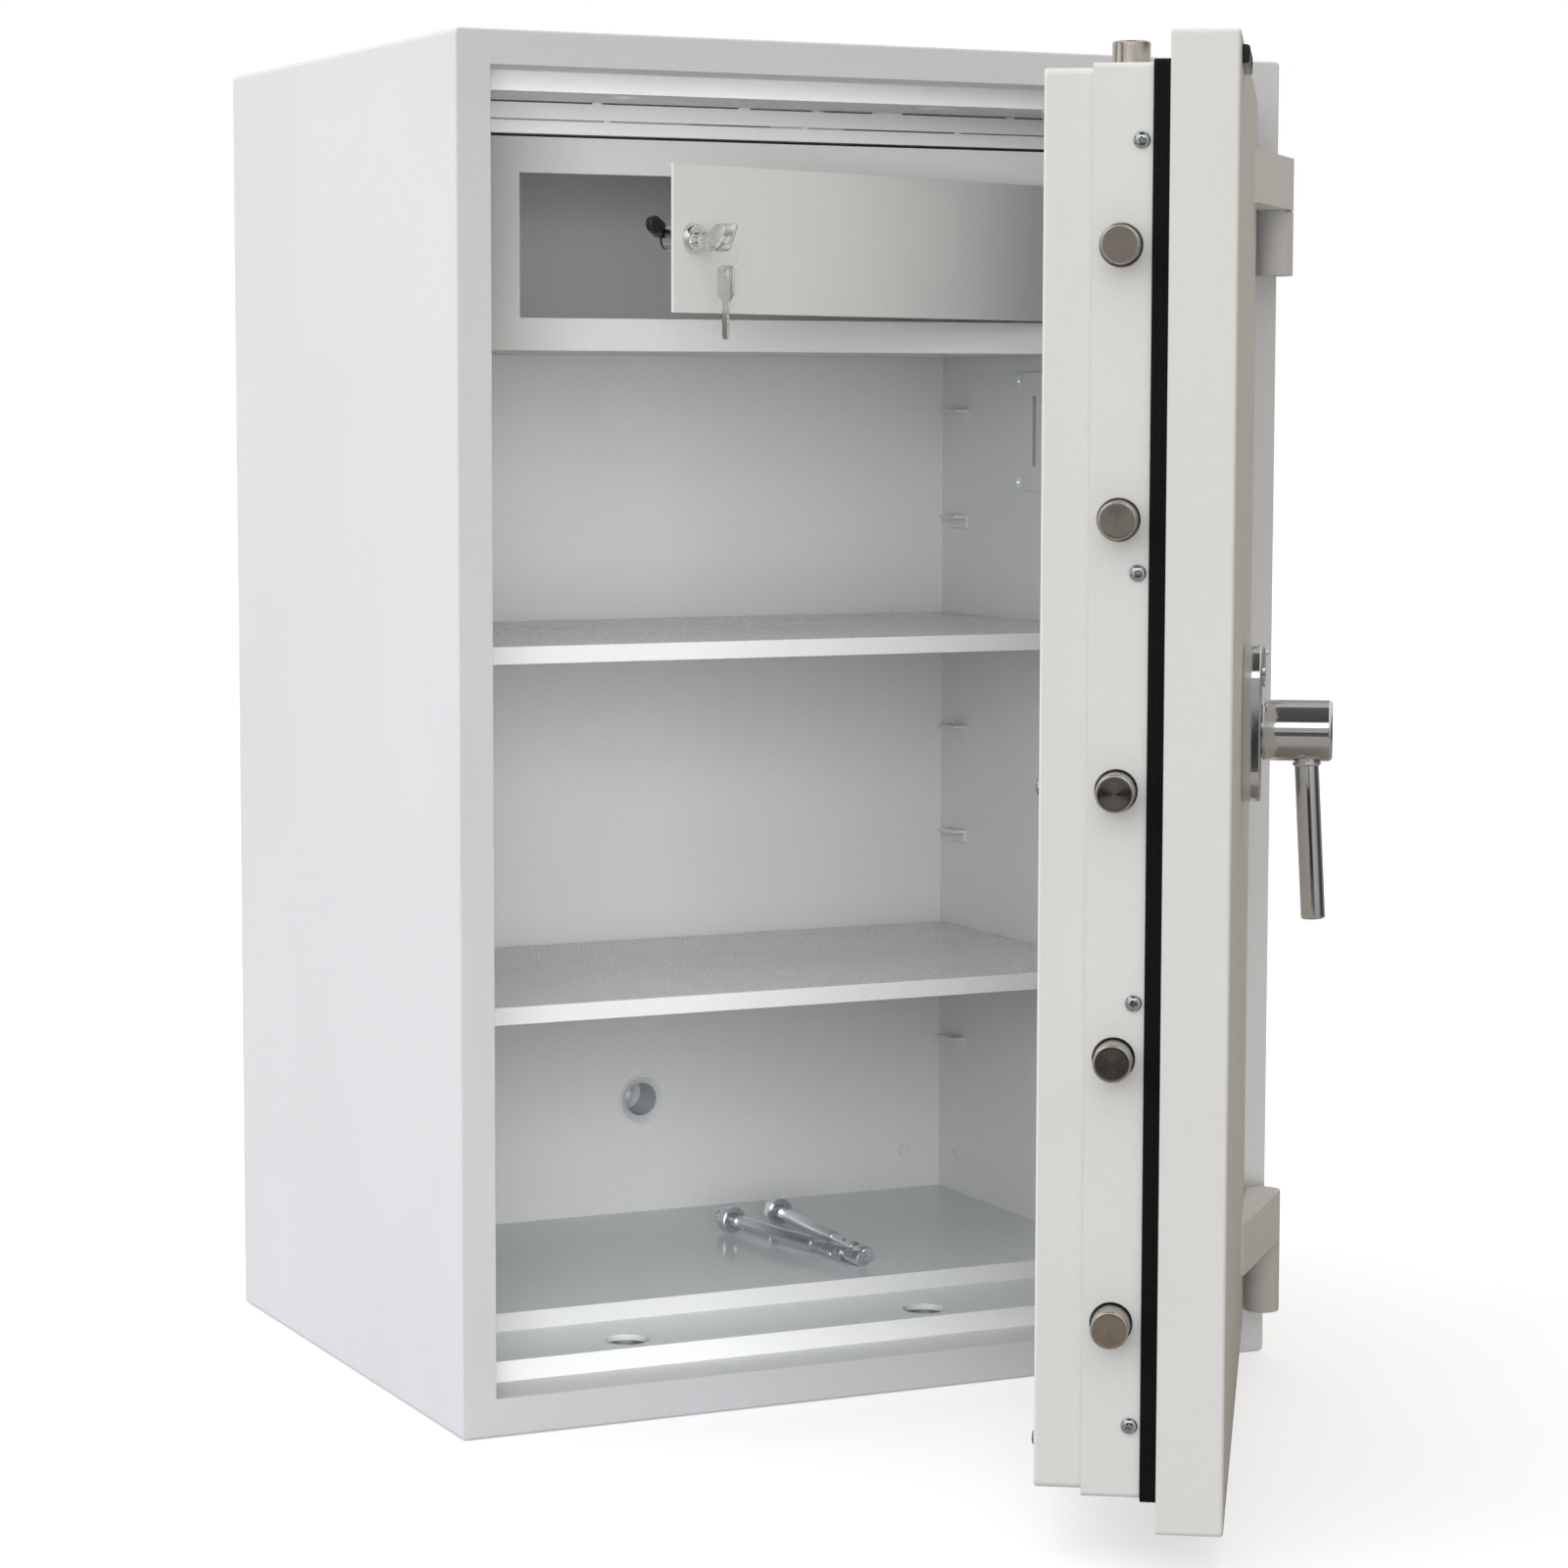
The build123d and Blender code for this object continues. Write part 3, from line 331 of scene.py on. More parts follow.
BY_NODE = dict(
    outer_casing=m_case, back_panel=m_case, door_frame=m_inner, bolt_socket_cups=m_zinc_flat, inner_liner=m_inner,
    liner_back_wall=m_inner, barrier_fill=m_stone, anchor_sleeve=m_seat, wall_plugs=m_plug, wall_cover_plate=m_inner,
    wall_cover_screws=m_zinc, shelf_tabs=m_inner, upper_shelf=m_shelf, lower_shelf=m_shelf, compartment_box=m_inner,
    compartment_front=m_inner, hinge_knuckles=m_hinge, hinge_pins=m_zinc, hinge_bearings=m_zinc, inner_hinge_pins=m_zinc,
    door_slab=m_door, door_back_plate=m_door, drill_plate=m_hard, door_fill=m_stone, door_bushes=m_brass,
    bolt_housing=m_door, boltwork_cover=m_door, key_pocket=m_door, boltwork_guides=m_zinc_flat, hinge_arms=m_arm,
    lock_case=m_zinc_flat, lock_levers=m_brass, handle_spindle=m_zinc_flat, drive_pinion=m_zinc_flat,
    latch_carrier=m_zinc_flat, top_link_bar=m_zinc_flat, bottom_link_bar=m_zinc_flat, lock_bolt=m_brass,
    inner_door_panel=m_inner, lock_cam=m_cap)
for n, m in BY_NODE.items():
    o = NODES[n]
    o.data.materials.clear()
    o.data.materials.append(m)


# ------------------------------------------------------------------ mesh helpers
def finish(name, bm, M, mat, body, nodes=(), angle=32.0, local=None, mats=None):
    """bm in local mm, kept as the point attribute lp; local is not used."""
    bmesh.ops.recalc_face_normals(bm, faces=bm.faces)
    me = bpy.data.meshes.new(name)
    bm.to_mesh(me)
    bm.free()
    at = me.attributes.new('lp', 'FLOAT_VECTOR', 'POINT')
    for i, v in enumerate(me.vertices):
        at.data[i].vector = v.co
    me.transform(M)
    if M.determinant() < 0:
        me.flip_normals()
    for mm in (mats or [mat]):
        me.materials.append(mm)
    for p in me.polygons:
        p.use_smooth = True
    me.set_sharp_from_angle(angle=math.radians(angle))
    ob = bpy.data.objects.new(name, me)
    bpy.context.scene.collection.objects.link(ob)
    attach(ob, body)
    if nodes:
        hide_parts(*nodes)
    return ob


def arc(cx_, cy_, r, a0, a1, n=6):
    return [(cx_ + r * math.cos(math.radians(a0 + (a1 - a0) * i / n)), cy_ + r * math.sin(math.radians(a0 + (a1 - a0) * i / n))) for i in range(n + 1)]


def lathe(bm, prof, M=Matrix(), segs=96, rfun=None, mi=None):
    """Closed surface of revolution about local Z. prof is (r, z) from axis to axis. mi(i) gives a material index."""
    rings = []
    for (r, z) in prof:
        if r < 1e-6:
            rings.append([bm.verts.new(M @ Vector((0, 0, z)))])
        else:
            ring = []
            for k in range(segs):
                a = 2 * math.pi * k / segs
                rr = rfun(r, z, a) if rfun else r
                ring.append(bm.verts.new(M @ Vector((rr * math.cos(a), rr * math.sin(a), z))))
            rings.append(ring)
    for i in range(len(rings) - 1):
        a, b = rings[i], rings[i + 1]
        for k in range(segs):
            k2 = (k + 1) % segs
            if len(a) == 1 and len(b) == 1:
                continue
            if len(a) == 1:
                f = bm.faces.new((a[0], b[k2], b[k]))
            elif len(b) == 1:
                f = bm.faces.new((a[k], a[k2], b[0]))
            else:
                f = bm.faces.new((a[k], a[k2], b[k2], b[k]))
            if mi:
                f.material_index = mi(i)
    return rings


def tube(bm, prof, M=Matrix(), segs=96, rfun=None):
    """Ring of revolution: closed profile loop of (r, z)."""
    rings = []
    for (r, z) in prof:
        ring = []
        for k in range(segs):
            a = 2 * math.pi * k / segs
            rr = rfun(r, z, a) if rfun else r
            ring.append(bm.verts.new(M @ Vector((rr * math.cos(a), rr * math.sin(a), z))))
        rings.append(ring)
    n = len(rings)
    for i in range(n):
        a, b = rings[i], rings[(i + 1) % n]
        for k in range(segs):
            k2 = (k + 1) % segs
            bm.faces.new((a[k], a[k2], b[k2], b[k]))


def plate2d(bm, outer, holes, t, bev, M=Matrix(), res=3):
    """Flat plate in local XY, thickness t centred on z=0, with rounded edges. Outlines are point loops."""
    cu = bpy.data.curves.new('tmp', 'CURVE')
    cu.dimensions = '2D'
    cu.fill_mode = 'BOTH'
    cu.extrude = max(0.0, t / 2 - bev)
    cu.bevel_depth = bev
    cu.bevel_resolution = res
    cu.offset = -bev
    for loop in [outer] + list(holes):
        sp = cu.splines.new('POLY')
        sp.points.add(len(loop) - 1)
        for i, p in enumerate(loop):
            sp.points[i].co = (p[0], p[1], 0, 1)
        sp.use_cyclic_u = True
    ob = bpy.data.objects.new('tmp', cu)
    bpy.context.scene.collection.objects.link(ob)
    dg = bpy.context.evaluated_depsgraph_get()
    dg.update()
    me = bpy.data.meshes.new_from_object(ob.evaluated_get(dg))
    me.transform(M)
    b2 = bmesh.new()
    b2.from_mesh(me)
    bmesh.ops.remove_doubles(b2, verts=b2.verts, dist=0.002)
    tmp = bpy.data.meshes.new('tmp')
    b2.to_mesh(tmp)
    b2.free()
    bm.from_mesh(tmp)
    bpy.data.objects.remove(ob)
    bpy.data.curves.remove(cu)
    bpy.data.meshes.remove(me)
    bpy.data.meshes.remove(tmp)


def circle(x, y, r, n=48, a0=0.0, rev=False):
    pts = [(x + r * math.cos(a0 + 2 * math.pi * i / n), y + r * math.sin(a0 + 2 * math.pi * i / n)) for i in range(n)]
    return pts[::-1] if rev else pts


def rounded(pts, radii, n=6):
    """Round the corners of a closed outline."""
    out = []
    N = len(pts)
    for i in range(N):
        p0, p1, p2 = Vector(pts[i - 1]), Vector(pts[i]), Vector(pts[(i + 1) % N])
        r = radii[i] if isinstance(radii, (list, tuple)) else radii
        if r <= 0:
            out.append(tuple(p1))
            continue
        d1, d2 = (p0 - p1).normalized(), (p2 - p1).normalized()
        ang = d1.angle(d2)
        cut = r / math.tan(ang / 2)
        c = p1 + (d1 + d2).normalized() * (r / math.sin(ang / 2))
        a, b = p1 + d1 * cut, p1 + d2 * cut
        va, vb = a - c, b - c
        a0 = math.atan2(va.y, va.x)
        da = (math.atan2(vb.y, vb.x) - a0 + math.pi) % (2 * math.pi) - math.pi
        for k in range(n + 1):
            t = a0 + da * k / n
            out.append((c.x + r * math.cos(t), c.y + r * math.sin(t)))
    return out


# ------------------------------------------------------------------ locking bolts
def bolt_profile(length, tail, fil=1.2):
    p = [(0, 0.10), (2.0, 0.09), (5.0, 0.05), (8.4, 0.02), (9.45, 0.0), (9.7, 0.02)]
    p += [(10.999 - fil + fil * math.sin(math.radians(a)), fil - fil * math.cos(math.radians(a)) + 0.02) for a in (10, 25, 40, 55, 70, 90)]
    p += [(11.0, 3.0), (11.0, length * 0.5), (11.0, length - 0.5), (10.5, length), (5.9, length), (5.9, length + tail), (0, length + tail)]
    return p


def bolt_set(name, places, length, tail, body, node):
    bm = bmesh.new()
    bm2 = bmesh.new()
    me = bpy.data.meshes.new(name)
    lp = []
    for M in places:
        b = bmesh.new()
        lathe(b, bolt_profile(length, tail), segs=128, mi=lambda i: 1 if i < 5 else 0)
        bmesh.ops.recalc_face_normals(b, faces=b.faces)
        tmp = bpy.data.meshes.new('tmp')
        b.to_mesh(tmp)
        b.free()
        lp += [v.co.copy() for v in tmp.vertices]
        tmp.transform(M)
        bm.from_mesh(tmp)
        bpy.data.meshes.remove(tmp)
    bm2.free()
    bm.to_mesh(me)
    bm.free()
    at = me.attributes.new('lp', 'FLOAT_VECTOR', 'POINT')
    for i, v in enumerate(lp):
        at.data[i].vector = v
    me.materials.append(m_bolt)
    me.materials.append(m_boltface)
    for p in me.polygons:
        p.use_smooth = True
    me.set_sharp_from_angle(angle=math.radians(30))
    ob = bpy.data.objects.new(name, me)
    bpy.context.scene.collection.objects.link(ob)
    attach(ob, body)
    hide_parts(node)
    return ob


BZ = [144.8 + 152.6 * k for k in range(5)]
BY = 65.4
bolt_set('latch_bolt_set', [M_DOOR @ T(24.9, BY, z) @ R(90, 'Y') @ R(37 * i, 'Z') for i, z in enumerate(BZ)], 47.1, 9, 'latch_boltwork', 'latch_bolts')
bolt_set('top_bolt_set', [M_DOOR @ T(x, BY, 875.4) @ R(180, 'X') for x in (143.5, 368.0)], 63.4, 9, 'top_boltwork', 'top_bolts')
bolt_set('bottom_bolt_set', [M_DOOR @ T(x, BY, 25.7) for x in (143.5, 368.0)], 64.3, 9, 'bottom_boltwork', 'bottom_bolts')
bolt_set('fixed_bolt_set', [M_DOOR @ T(571.9, BY, z) @ R(-90, 'Y') for z in (196.0, 452.4, 708.0)], 11.0, 12, 'door', 'dog_bolts')

# ------------------------------------------------------------------ pan-head cross-recess screws
def screw_mesh():
    """One screw, head up along +Z, seat at z = 0."""
    b = bmesh.new()
    prof = [(0, 2.6), (1.5, 2.56), (2.6, 2.42), (3.5, 2.12), (4.2, 1.66), (4.65, 1.12), (4.86, 0.6), (4.9, 0.22), (4.8, 0.0), (2.5, 0.0), (2.5, -8.0), (0, -8.0)]
    lathe(b, prof, segs=64)
    bmesh.ops.recalc_face_normals(b, faces=b.faces)
    me = bpy.data.meshes.new('scr')
    b.to_mesh(me)
    b.free()
    o = bpy.data.objects.new('scr', me)
    c = bmesh.new()
    for a in (0, 90):
        v = []
        for (x, y, z) in ((-2.55, -0.52, 3.2), (2.55, -0.52, 3.2), (2.55, 0.52, 3.2), (-2.55, 0.52, 3.2), (-0.9, -0.34, 0.7), (0.9, -0.34, 0.7), (0.9, 0.34, 0.7), (-0.9, 0.34, 0.7)):
            v.append(c.verts.new(R(a + 0.3, 'Z') @ Vector((x, y, z + a * 0.0002))))
        for f in ((0, 1, 2, 3), (4, 7, 6, 5), (0, 4, 5, 1), (1, 5, 6, 2), (2, 6, 7, 3), (3, 7, 4, 0)):
            c.faces.new([v[i] for i in f])
    bmesh.ops.recalc_face_normals(c, faces=c.faces)
    cm = bpy.data.meshes.new('cut')
    c.to_mesh(cm)
    c.free()
    oc = bpy.data.objects.new('cut', cm)
    for x in (o, oc):
        bpy.context.scene.collection.objects.link(x)
    md = o.modifiers.new('b', 'BOOLEAN')
    md.operation = 'DIFFERENCE'
    md.solver = 'EXACT'
    md.use_self = True
    md.object = oc
    dg = bpy.context.evaluated_depsgraph_get()
    dg.update()
    res = bpy.data.meshes.new_from_object(o.evaluated_get(dg))
    bpy.data.objects.remove(o)
    bpy.data.objects.remove(oc)
    return res


def many(name, src, places, mat, body, node, angle=32):
    bm = bmesh.new()
    for M in places:
        c = src.copy()
        c.transform(M)
        bm.from_mesh(c)
        bpy.data.meshes.remove(c)
    me = bpy.data.meshes.new(name)
    bm.to_mesh(me)
    bm.free()
    me.materials.append(mat)
    for p in me.polygons:
        p.use_smooth = True
        p.material_index = 0
    me.set_sharp_from_angle(angle=math.radians(angle))
    ob = bpy.data.objects.new(name, me)
    bpy.context.scene.collection.objects.link(ob)
    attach(ob, body)
    if node:
        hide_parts(node)
    return ob


SM = screw_mesh()
rnd = random.Random(7)
SZ = [85.6, 329.3, 572.7, 813.0]
places = [M_DOOR @ T(44.4, 54.6, z) @ R(-90, 'Y') @ R(rnd.uniform(0, 90), 'Z') for z in SZ]
places += [M_DOOR @ T(560.9, 54.6, z) @ R(90, 'Y') @ R(rnd.uniform(0, 90), 'Z') for z in SZ]
for (x, z) in [(72, 70), (302, 62), (533, 70), (72, 830), (302, 838), (533, 830), (60, 450), (545, 450)]:
    places.append(M_DOOR @ T(x, 109.4, z) @ R(-90, 'X') @ R(rnd.uniform(0, 90), 'Z'))
many('door_pan_screws', SM, places, m_screw, 'door', 'door_screws')

# ------------------------------------------------------------------ expanding fire seal round the housing
bm = bmesh.new()
x0, x1, z0, z1 = 44.4, 560.9, 43.4, 855.9
prof = [(0.0, 38.3), (0.86, 38.3), (1.0, 38.55), (1.0, 41.2), (0.93, 41.45), (0.93, 41.75), (1.0, 42.0), (1.0, 44.8), (0.93, 45.05), (0.93, 45.35), (1.0, 45.6), (1.0, 47.5), (0.88, 48.1), (0.6, 48.3), (0.0, 48.3)]
rings = []
for (o, y) in prof:
    L, B, TT = 2.4 * o, 2.6 * o, 2.0 * o
    c = [(x0 - L, z0 - B), (x1 + L, z0 - B), (x1 + L, z1 + TT), (x0 - L, z1 + TT)]
    c = rounded(c, 3.0 + 2.0 * o, 6)
    rings.append([bm.verts.new((px, y, pz)) for (px, pz) in c])
n = len(rings[0])
for i in range(len(rings)):
    a, b = rings[i], rings[(i + 1) % len(rings)]
    for k in range(n):
        bm.faces.new((a[k], a[(k + 1) % n], b[(k + 1) % n], b[k]))
finish('fire_seal_strip', bm, M_DOOR, m_seal, 'door', ['door_seal'])

# ------------------------------------------------------------------ lever handle
bm = bmesh.new()
prof = [(0, 0.0), (13.5, 0.0), (15.9, 0.05)] + [(16.0 + 3.0 * math.sin(math.radians(a)), 3.0 - 3.0 * math.cos(math.radians(a))) for a in (10, 25, 40, 55, 70, 82, 90)]
prof += [(19.0, 12.0), (19.0, 30.0), (19.0, 41.6), (18.9, 42.4), (18.55, 43.1), (17.7, 43.7), (17.2, 44.1), (0, 44.1)]
lathe(bm, prof, segs=160)
finish('handle_hub', bm, M_DOOR @ T(311, -55.9, 464) @ R(-90, 'X'), m_chrome, 'handle', ['handle_boss'], angle=38)

bm = bmesh.new()
A, B = Vector((311, -39.45, 454.0)), Vector((311, -45.4, 346.0))
L = (B - A).length
q = Vector((0, 0, 1)).rotation_difference((B - A).normalized()).to_matrix().to_4x4()
prof = [(0, 0), (7.55, 0), (7.6, 0.3), (7.6, L * 0.3), (7.6, L * 0.7), (7.6, L - 1.6)]
prof += [(6.0 + 1.6 * math.cos(math.radians(a)), L - 1.6 + 1.6 * math.sin(math.radians(a))) for a in (15, 35, 55, 75, 90)]
prof += [(0, L)]
lathe(bm, prof, segs=96)
tube(bm, [(7.5, 9.3), (8.55, 9.4), (8.9, 9.8), (9.0, 10.5), (8.8, 11.2), (8.3, 11.7), (7.5, 11.9)], segs=96)
finish('handle_rod', bm, M_DOOR @ T(*A) @ q, m_chrome, 'handle', ['handle_lever'], angle=38)

# ------------------------------------------------------------------ escutcheon with keyhole, and its swinging cover
def stadium(cx_, cy_, length, width, n=40):
    r = width / 2
    h = length / 2 - r
    return [(cx_ + r * math.cos(math.pi * i / n), cy_ + h + r * math.sin(math.pi * i / n)) for i in range(n + 1)] + \
           [(cx_ + r * math.cos(math.pi + math.pi * i / n), cy_ - h + r * math.sin(math.pi + math.pi * i / n)) for i in range(n + 1)]


XZ = Matrix(((1, 0, 0, 0), (0, 0, 1, 0), (0, 1, 0, 0), (0, 0, 0, 1)))      # local (x, y, z) -> (x, z, y)
bm = bmesh.new()
kh = [(311 + 3.6 * math.cos(math.radians(a)), 500 + 3.6 * math.sin(math.radians(a))) for a in range(-60, 241, 10)] + [(309.3, 491.0), (312.7, 491.0)]
plate2d(bm, stadium(311, 468.2, 98.4, 46.0), [kh, circle(311, 464, 7.4)], 11.5, 1.25, T(0, -5.75, 0) @ XZ, 4)
lathe(bm, [(0, 0), (1.5, 0), (1.9, 0.5), (1.9, 6.0), (0, 6.0)], T(311, -15.6, 512.4) @ R(-90, 'X'), 40)
finish('lock_escutcheon', bm, M_DOOR, m_chrome, 'door', ['escutcheon'], angle=40)

bm = bmesh.new()
rr, r2 = 9.4, 4.0
dz = 12.2
ca = math.acos((rr - r2) / dz)
pts = [(311 + rr * math.cos(t), 500.2 + rr * math.sin(t)) for t in [math.pi / 2 + ca + (2 * math.pi - 2 * ca) * i / 48 for i in range(49)]]
pts += [(311 + r2 * math.cos(t), 512.4 + r2 * math.sin(t)) for t in [math.pi / 2 - ca + 2 * ca * i / 20 for i in range(21)]]
plate2d(bm, pts, [circle(311, 512.4, 1.97, 32)], 2.1, 0.55, T(0, -12.8, 0) @ XZ, 3)
finish('keyhole_swing_cover', bm, M_DOOR, m_chrome, 'keyhole_flap', ['keyhole_cover'], angle=40)

# ------------------------------------------------------------------ blank name plate with a fine raised rim
bm = bmesh.new()
rect = rounded([(54, 855.5), (142, 855.5), (142, 866), (54, 866)], 1.4, 5)
plate2d(bm, rect, [], 3.4, 0.8, T(0, -1.75, 0) @ XZ, 3)
rim_o = rounded([(54.5, 856.0), (141.5, 856.0), (141.5, 865.5), (54.5, 865.5)], 1.3, 5)
rim_i = rounded([(55.7, 857.2), (140.3, 857.2), (140.3, 864.3), (55.7, 864.3)], 0.8, 5)
plate2d(bm, rim_o, [rim_i[::-1]], 0.9, 0.3, T(0, -3.7, 0) @ XZ, 2)
finish('blank_name_plate', bm, M_DOOR, m_plate, 'door', ['name_plate'], angle=40)

# ------------------------------------------------------------------ cam lock on the inner door
LKX, LKZ, CY = 112.2, 770.6, 127.0
LOCK = T(LKX, 0, LKZ) @ R(-90, 'X')            # local z -> +y
bm = bmesh.new()
# tube: outer head in front (y 122.6), body back to y 147
tube(bm, [(5.55, 122.9), (6.0, 122.6), (7.9, 122.6), (8.5, 122.75), (8.85, 123.2), (9.6, 125.6), (9.95, 126.5), (9.95, 127.0), (7.9, 127.0), (7.9, 146.6), (7.5, 147.0), (5.55, 147.0)], segs=96)
finish('cam_lock_housing', bm, M_INNER @ LOCK, m_chrome, 'inner_door', ['cam_lock_body'])


def nut_radius(af):
    def f(r, z, a):
        s = math.radians(60)
        b = (a + s / 2) % s - s / 2
        return min(r, af / 2 / math.cos(b))
    return f


bm = bmesh.new()
af = 22.0
rc = af / math.sqrt(3)
tube(bm, [(7.95, 129.3), (8.3, 129.0), (10.9, 129.0), (12.0, 129.5), (rc, 130.2), (rc, 131.8), (12.0, 132.5), (10.9, 133.0), (8.3, 133.0), (7.95, 132.7)], segs=144, rfun=nut_radius(af))
finish('cam_lock_hex_nut', bm, M_INNER @ LOCK, m_zinc, 'inner_door', ['cam_lock_nut'], angle=24)

CAM_ANG, KEY_ANG = 146.0, 64.0
TURN = lambda ang: T(LKX, 0, LKZ) @ R(90 - ang, 'Y')
bm = bmesh.new()
lathe(bm, [(0, 122.55), (4.9, 122.4), (5.4, 122.7), (5.5, 123.1), (5.5, 151.2), (5.1, 151.6), (0, 151.6)], LOCK, 72)
me = bpy.data.meshes.new('plug')
bmesh.ops.recalc_face_normals(bm, faces=bm.faces)
bm.to_mesh(me)
bm.free()
po = bpy.data.objects.new('plug', me)
cb = bmesh.new()
bmesh.ops.create_cube(cb, size=1.0, matrix=TURN(KEY_ANG) @ T(0, 129.0, 0) @ Matrix.Diagonal((1.8, 20.0, 8.2, 1)))
cm = bpy.data.meshes.new('slot')
cb.to_mesh(cm)
cb.free()
so = bpy.data.objects.new('slot', cm)
for x in (po, so):
    bpy.context.scene.collection.objects.link(x)
md = po.modifiers.new('b', 'BOOLEAN')
md.operation = 'DIFFERENCE'
md.object = so
dg = bpy.context.evaluated_depsgraph_get()
dg.update()
pm = bpy.data.meshes.new_from_object(po.evaluated_get(dg))
bpy.data.objects.remove(po)
bpy.data.objects.remove(so)
many('cam_lock_core', pm, [M_INNER], m_chrome, 'key_plug', 'cam_lock_plug')

# black cap on the cam: rounded hood, built round the cam's end
bm = bmesh.new()
hood = [(-5.2, 9.2), (-4.4, 8.4), (4.4, 8.4), (5.2, 9.2)] + [(5.2 * math.cos(math.radians(a)), 16.6 + 5.2 * math.sin(math.radians(a))) for a in range(0, 181, 10)]
plate2d(bm, hood, [], 5.2, 0.9, TURN(CAM_ANG) @ T(0, 148.2, 0) @ XZ, 4)
finish('cam_black_cap', bm, M_INNER, m_cap, 'key_plug', ['lock_cam_cap'], angle=45)


# ------------------------------------------------------------------ keys
KHY, KHZ = 20.9, 1.8                     # hole in the bow


def key_outline(blade, cuts):
    """Outline in the (y, z) plane: bow towards -y, blade towards +y."""
    o = rounded([(-3.6, -4.0), (-3.6, -5.2), (-8.0, -9.6), (-25.5, -9.6), (-25.5, 9.6), (-8.0, 9.6), (-3.6, 5.2), (-3.6, 4.0)],
                [0.3, 0.8, 1.6, 3.2, 3.2, 1.6, 0.8, 0.3], 6)
    top = [(0.0, 4.0), (0.0, 3.8), (blade - 2.6, 3.8), (blade - 0.4, 1.9), (blade, 0.9)]
    bot = [(blade, -0.2)]
    y = blade - 2.2
    for d in cuts:
        bot += [(y, -3.6 + d), (y - 1.3, -3.6 + d), (y - 2.2, -3.6 + d * 0.3)]
        y -= 3.0
    bot += [(1.0, -3.8), (0.0, -3.8), (0.0, -4.0)]
    return o + top + bot


YZ = Matrix(((0, 0, 1, 0), (1, 0, 0, 0), (0, 1, 0, 0), (0, 0, 0, 1)))      # local (x, y, z) -> (z, x, y)


def key(name, P, node, body, blade, cuts):
    bm = bmesh.new()
    plate2d(bm, key_outline(blade, cuts), [circle(-KHY, -KHZ, 3.02, 40)[::-1]], 1.56, 0.22, P @ YZ, 2)
    # shallow pressed fields on the bow and a groove's rib along the blade, on both faces
    o = rounded([(-7.4, -6.6), (-12.8, -7.9), (-16.4, -7.9), (-16.4, 7.9), (-8.6, 7.9), (-7.4, 6.6)], [0.8, 1.0, 0.8, 0.8, 0.9, 0.8], 5)
    for s in (1, -1):
        plate2d(bm, o, [], 0.16, 0.05, P @ T(s * 0.80, 0, 0) @ YZ, 1)
        for q in range(4):
            plate2d(bm, rounded([(-15.3 + 2.0 * q, -6.6), (-14.4 + 2.0 * q, -6.6), (-14.4 + 2.0 * q, 6.6), (-15.3 + 2.0 * q, 6.6)], 0.3, 2), [], 0.12, 0.04, P @ T(s * 0.89, 0, 0) @ YZ, 1)
        plate2d(bm, rounded([(-3.0, 1.0), (blade - 3.0, 1.0), (blade - 3.0, 2.0), (-3.0, 2.0)], 0.3, 2), [], 0.2, 0.06, P @ T(s * 0.80, 0, 0) @ YZ, 1)
    return finish(name, bm, M_INNER, m_key, body, [node], angle=35)


key('key_in_lock', TURN(KEY_ANG) @ T(0, CY - 9.6, 0), 'lock_key', 'key_plug', 19.0, (1.2, 0.5, 1.5, 0.8, 1.1))
HOLE = Vector((LKX - KHZ * math.cos(math.radians(KEY_ANG)), CY - 9.6 - KHY, LKZ - KHZ * math.sin(math.radians(KEY_ANG))))
RING_R = 9.1
RP = T(*HOLE) @ R(-47.6, 'Z') @ T(0, 0, -0.4 - RING_R)
key('spare_key_hanging', RP @ T(0, 0, -RING_R - 2.1) @ R(31, 'Z') @ R(-90, 'X') @ T(0, KHY, KHZ), 'spare_key', 'hanging_keys', 21.0, (1.2, 0.5, 1.5, 0.8, 1.1))

# split ring: wire of nearly two turns, side by side, crossing over once
bm = bmesh.new()
path = []
turns, N = 1.93, 170
for i in range(N + 1):
    s = i / N
    a = 2 * math.pi * turns * s + math.radians(205)
    off = -0.27 + 0.54 / (1 + math.exp(-(s * turns - 0.965) / 0.028))
    path.append(Vector((RING_R * math.cos(a), off, RING_R * math.sin(a))))
wr = 0.265
prev = None
first = None
for i, p in enumerate(path):
    tg = (path[min(i + 1, N)] - path[max(i - 1, 0)]).normalized()
    u = Vector((p.x, 0, p.z)).normalized()
    v = tg.cross(u).normalized()
    u = v.cross(tg).normalized()
    ring = [bm.verts.new(p + (u * math.cos(2 * math.pi * k / 12) + v * math.sin(2 * math.pi * k / 12)) * wr) for k in range(12)]
    if prev:
        for k in range(12):
            bm.faces.new((prev[k], prev[(k + 1) % 12], ring[(k + 1) % 12], ring[k]))
    else:
        first = ring
    prev = ring
bm.faces.new(first)
bm.faces.new(prev)
finish('split_ring', bm, M_INNER @ RP, m_ring, 'hanging_keys', ['key_ring'], angle=50)

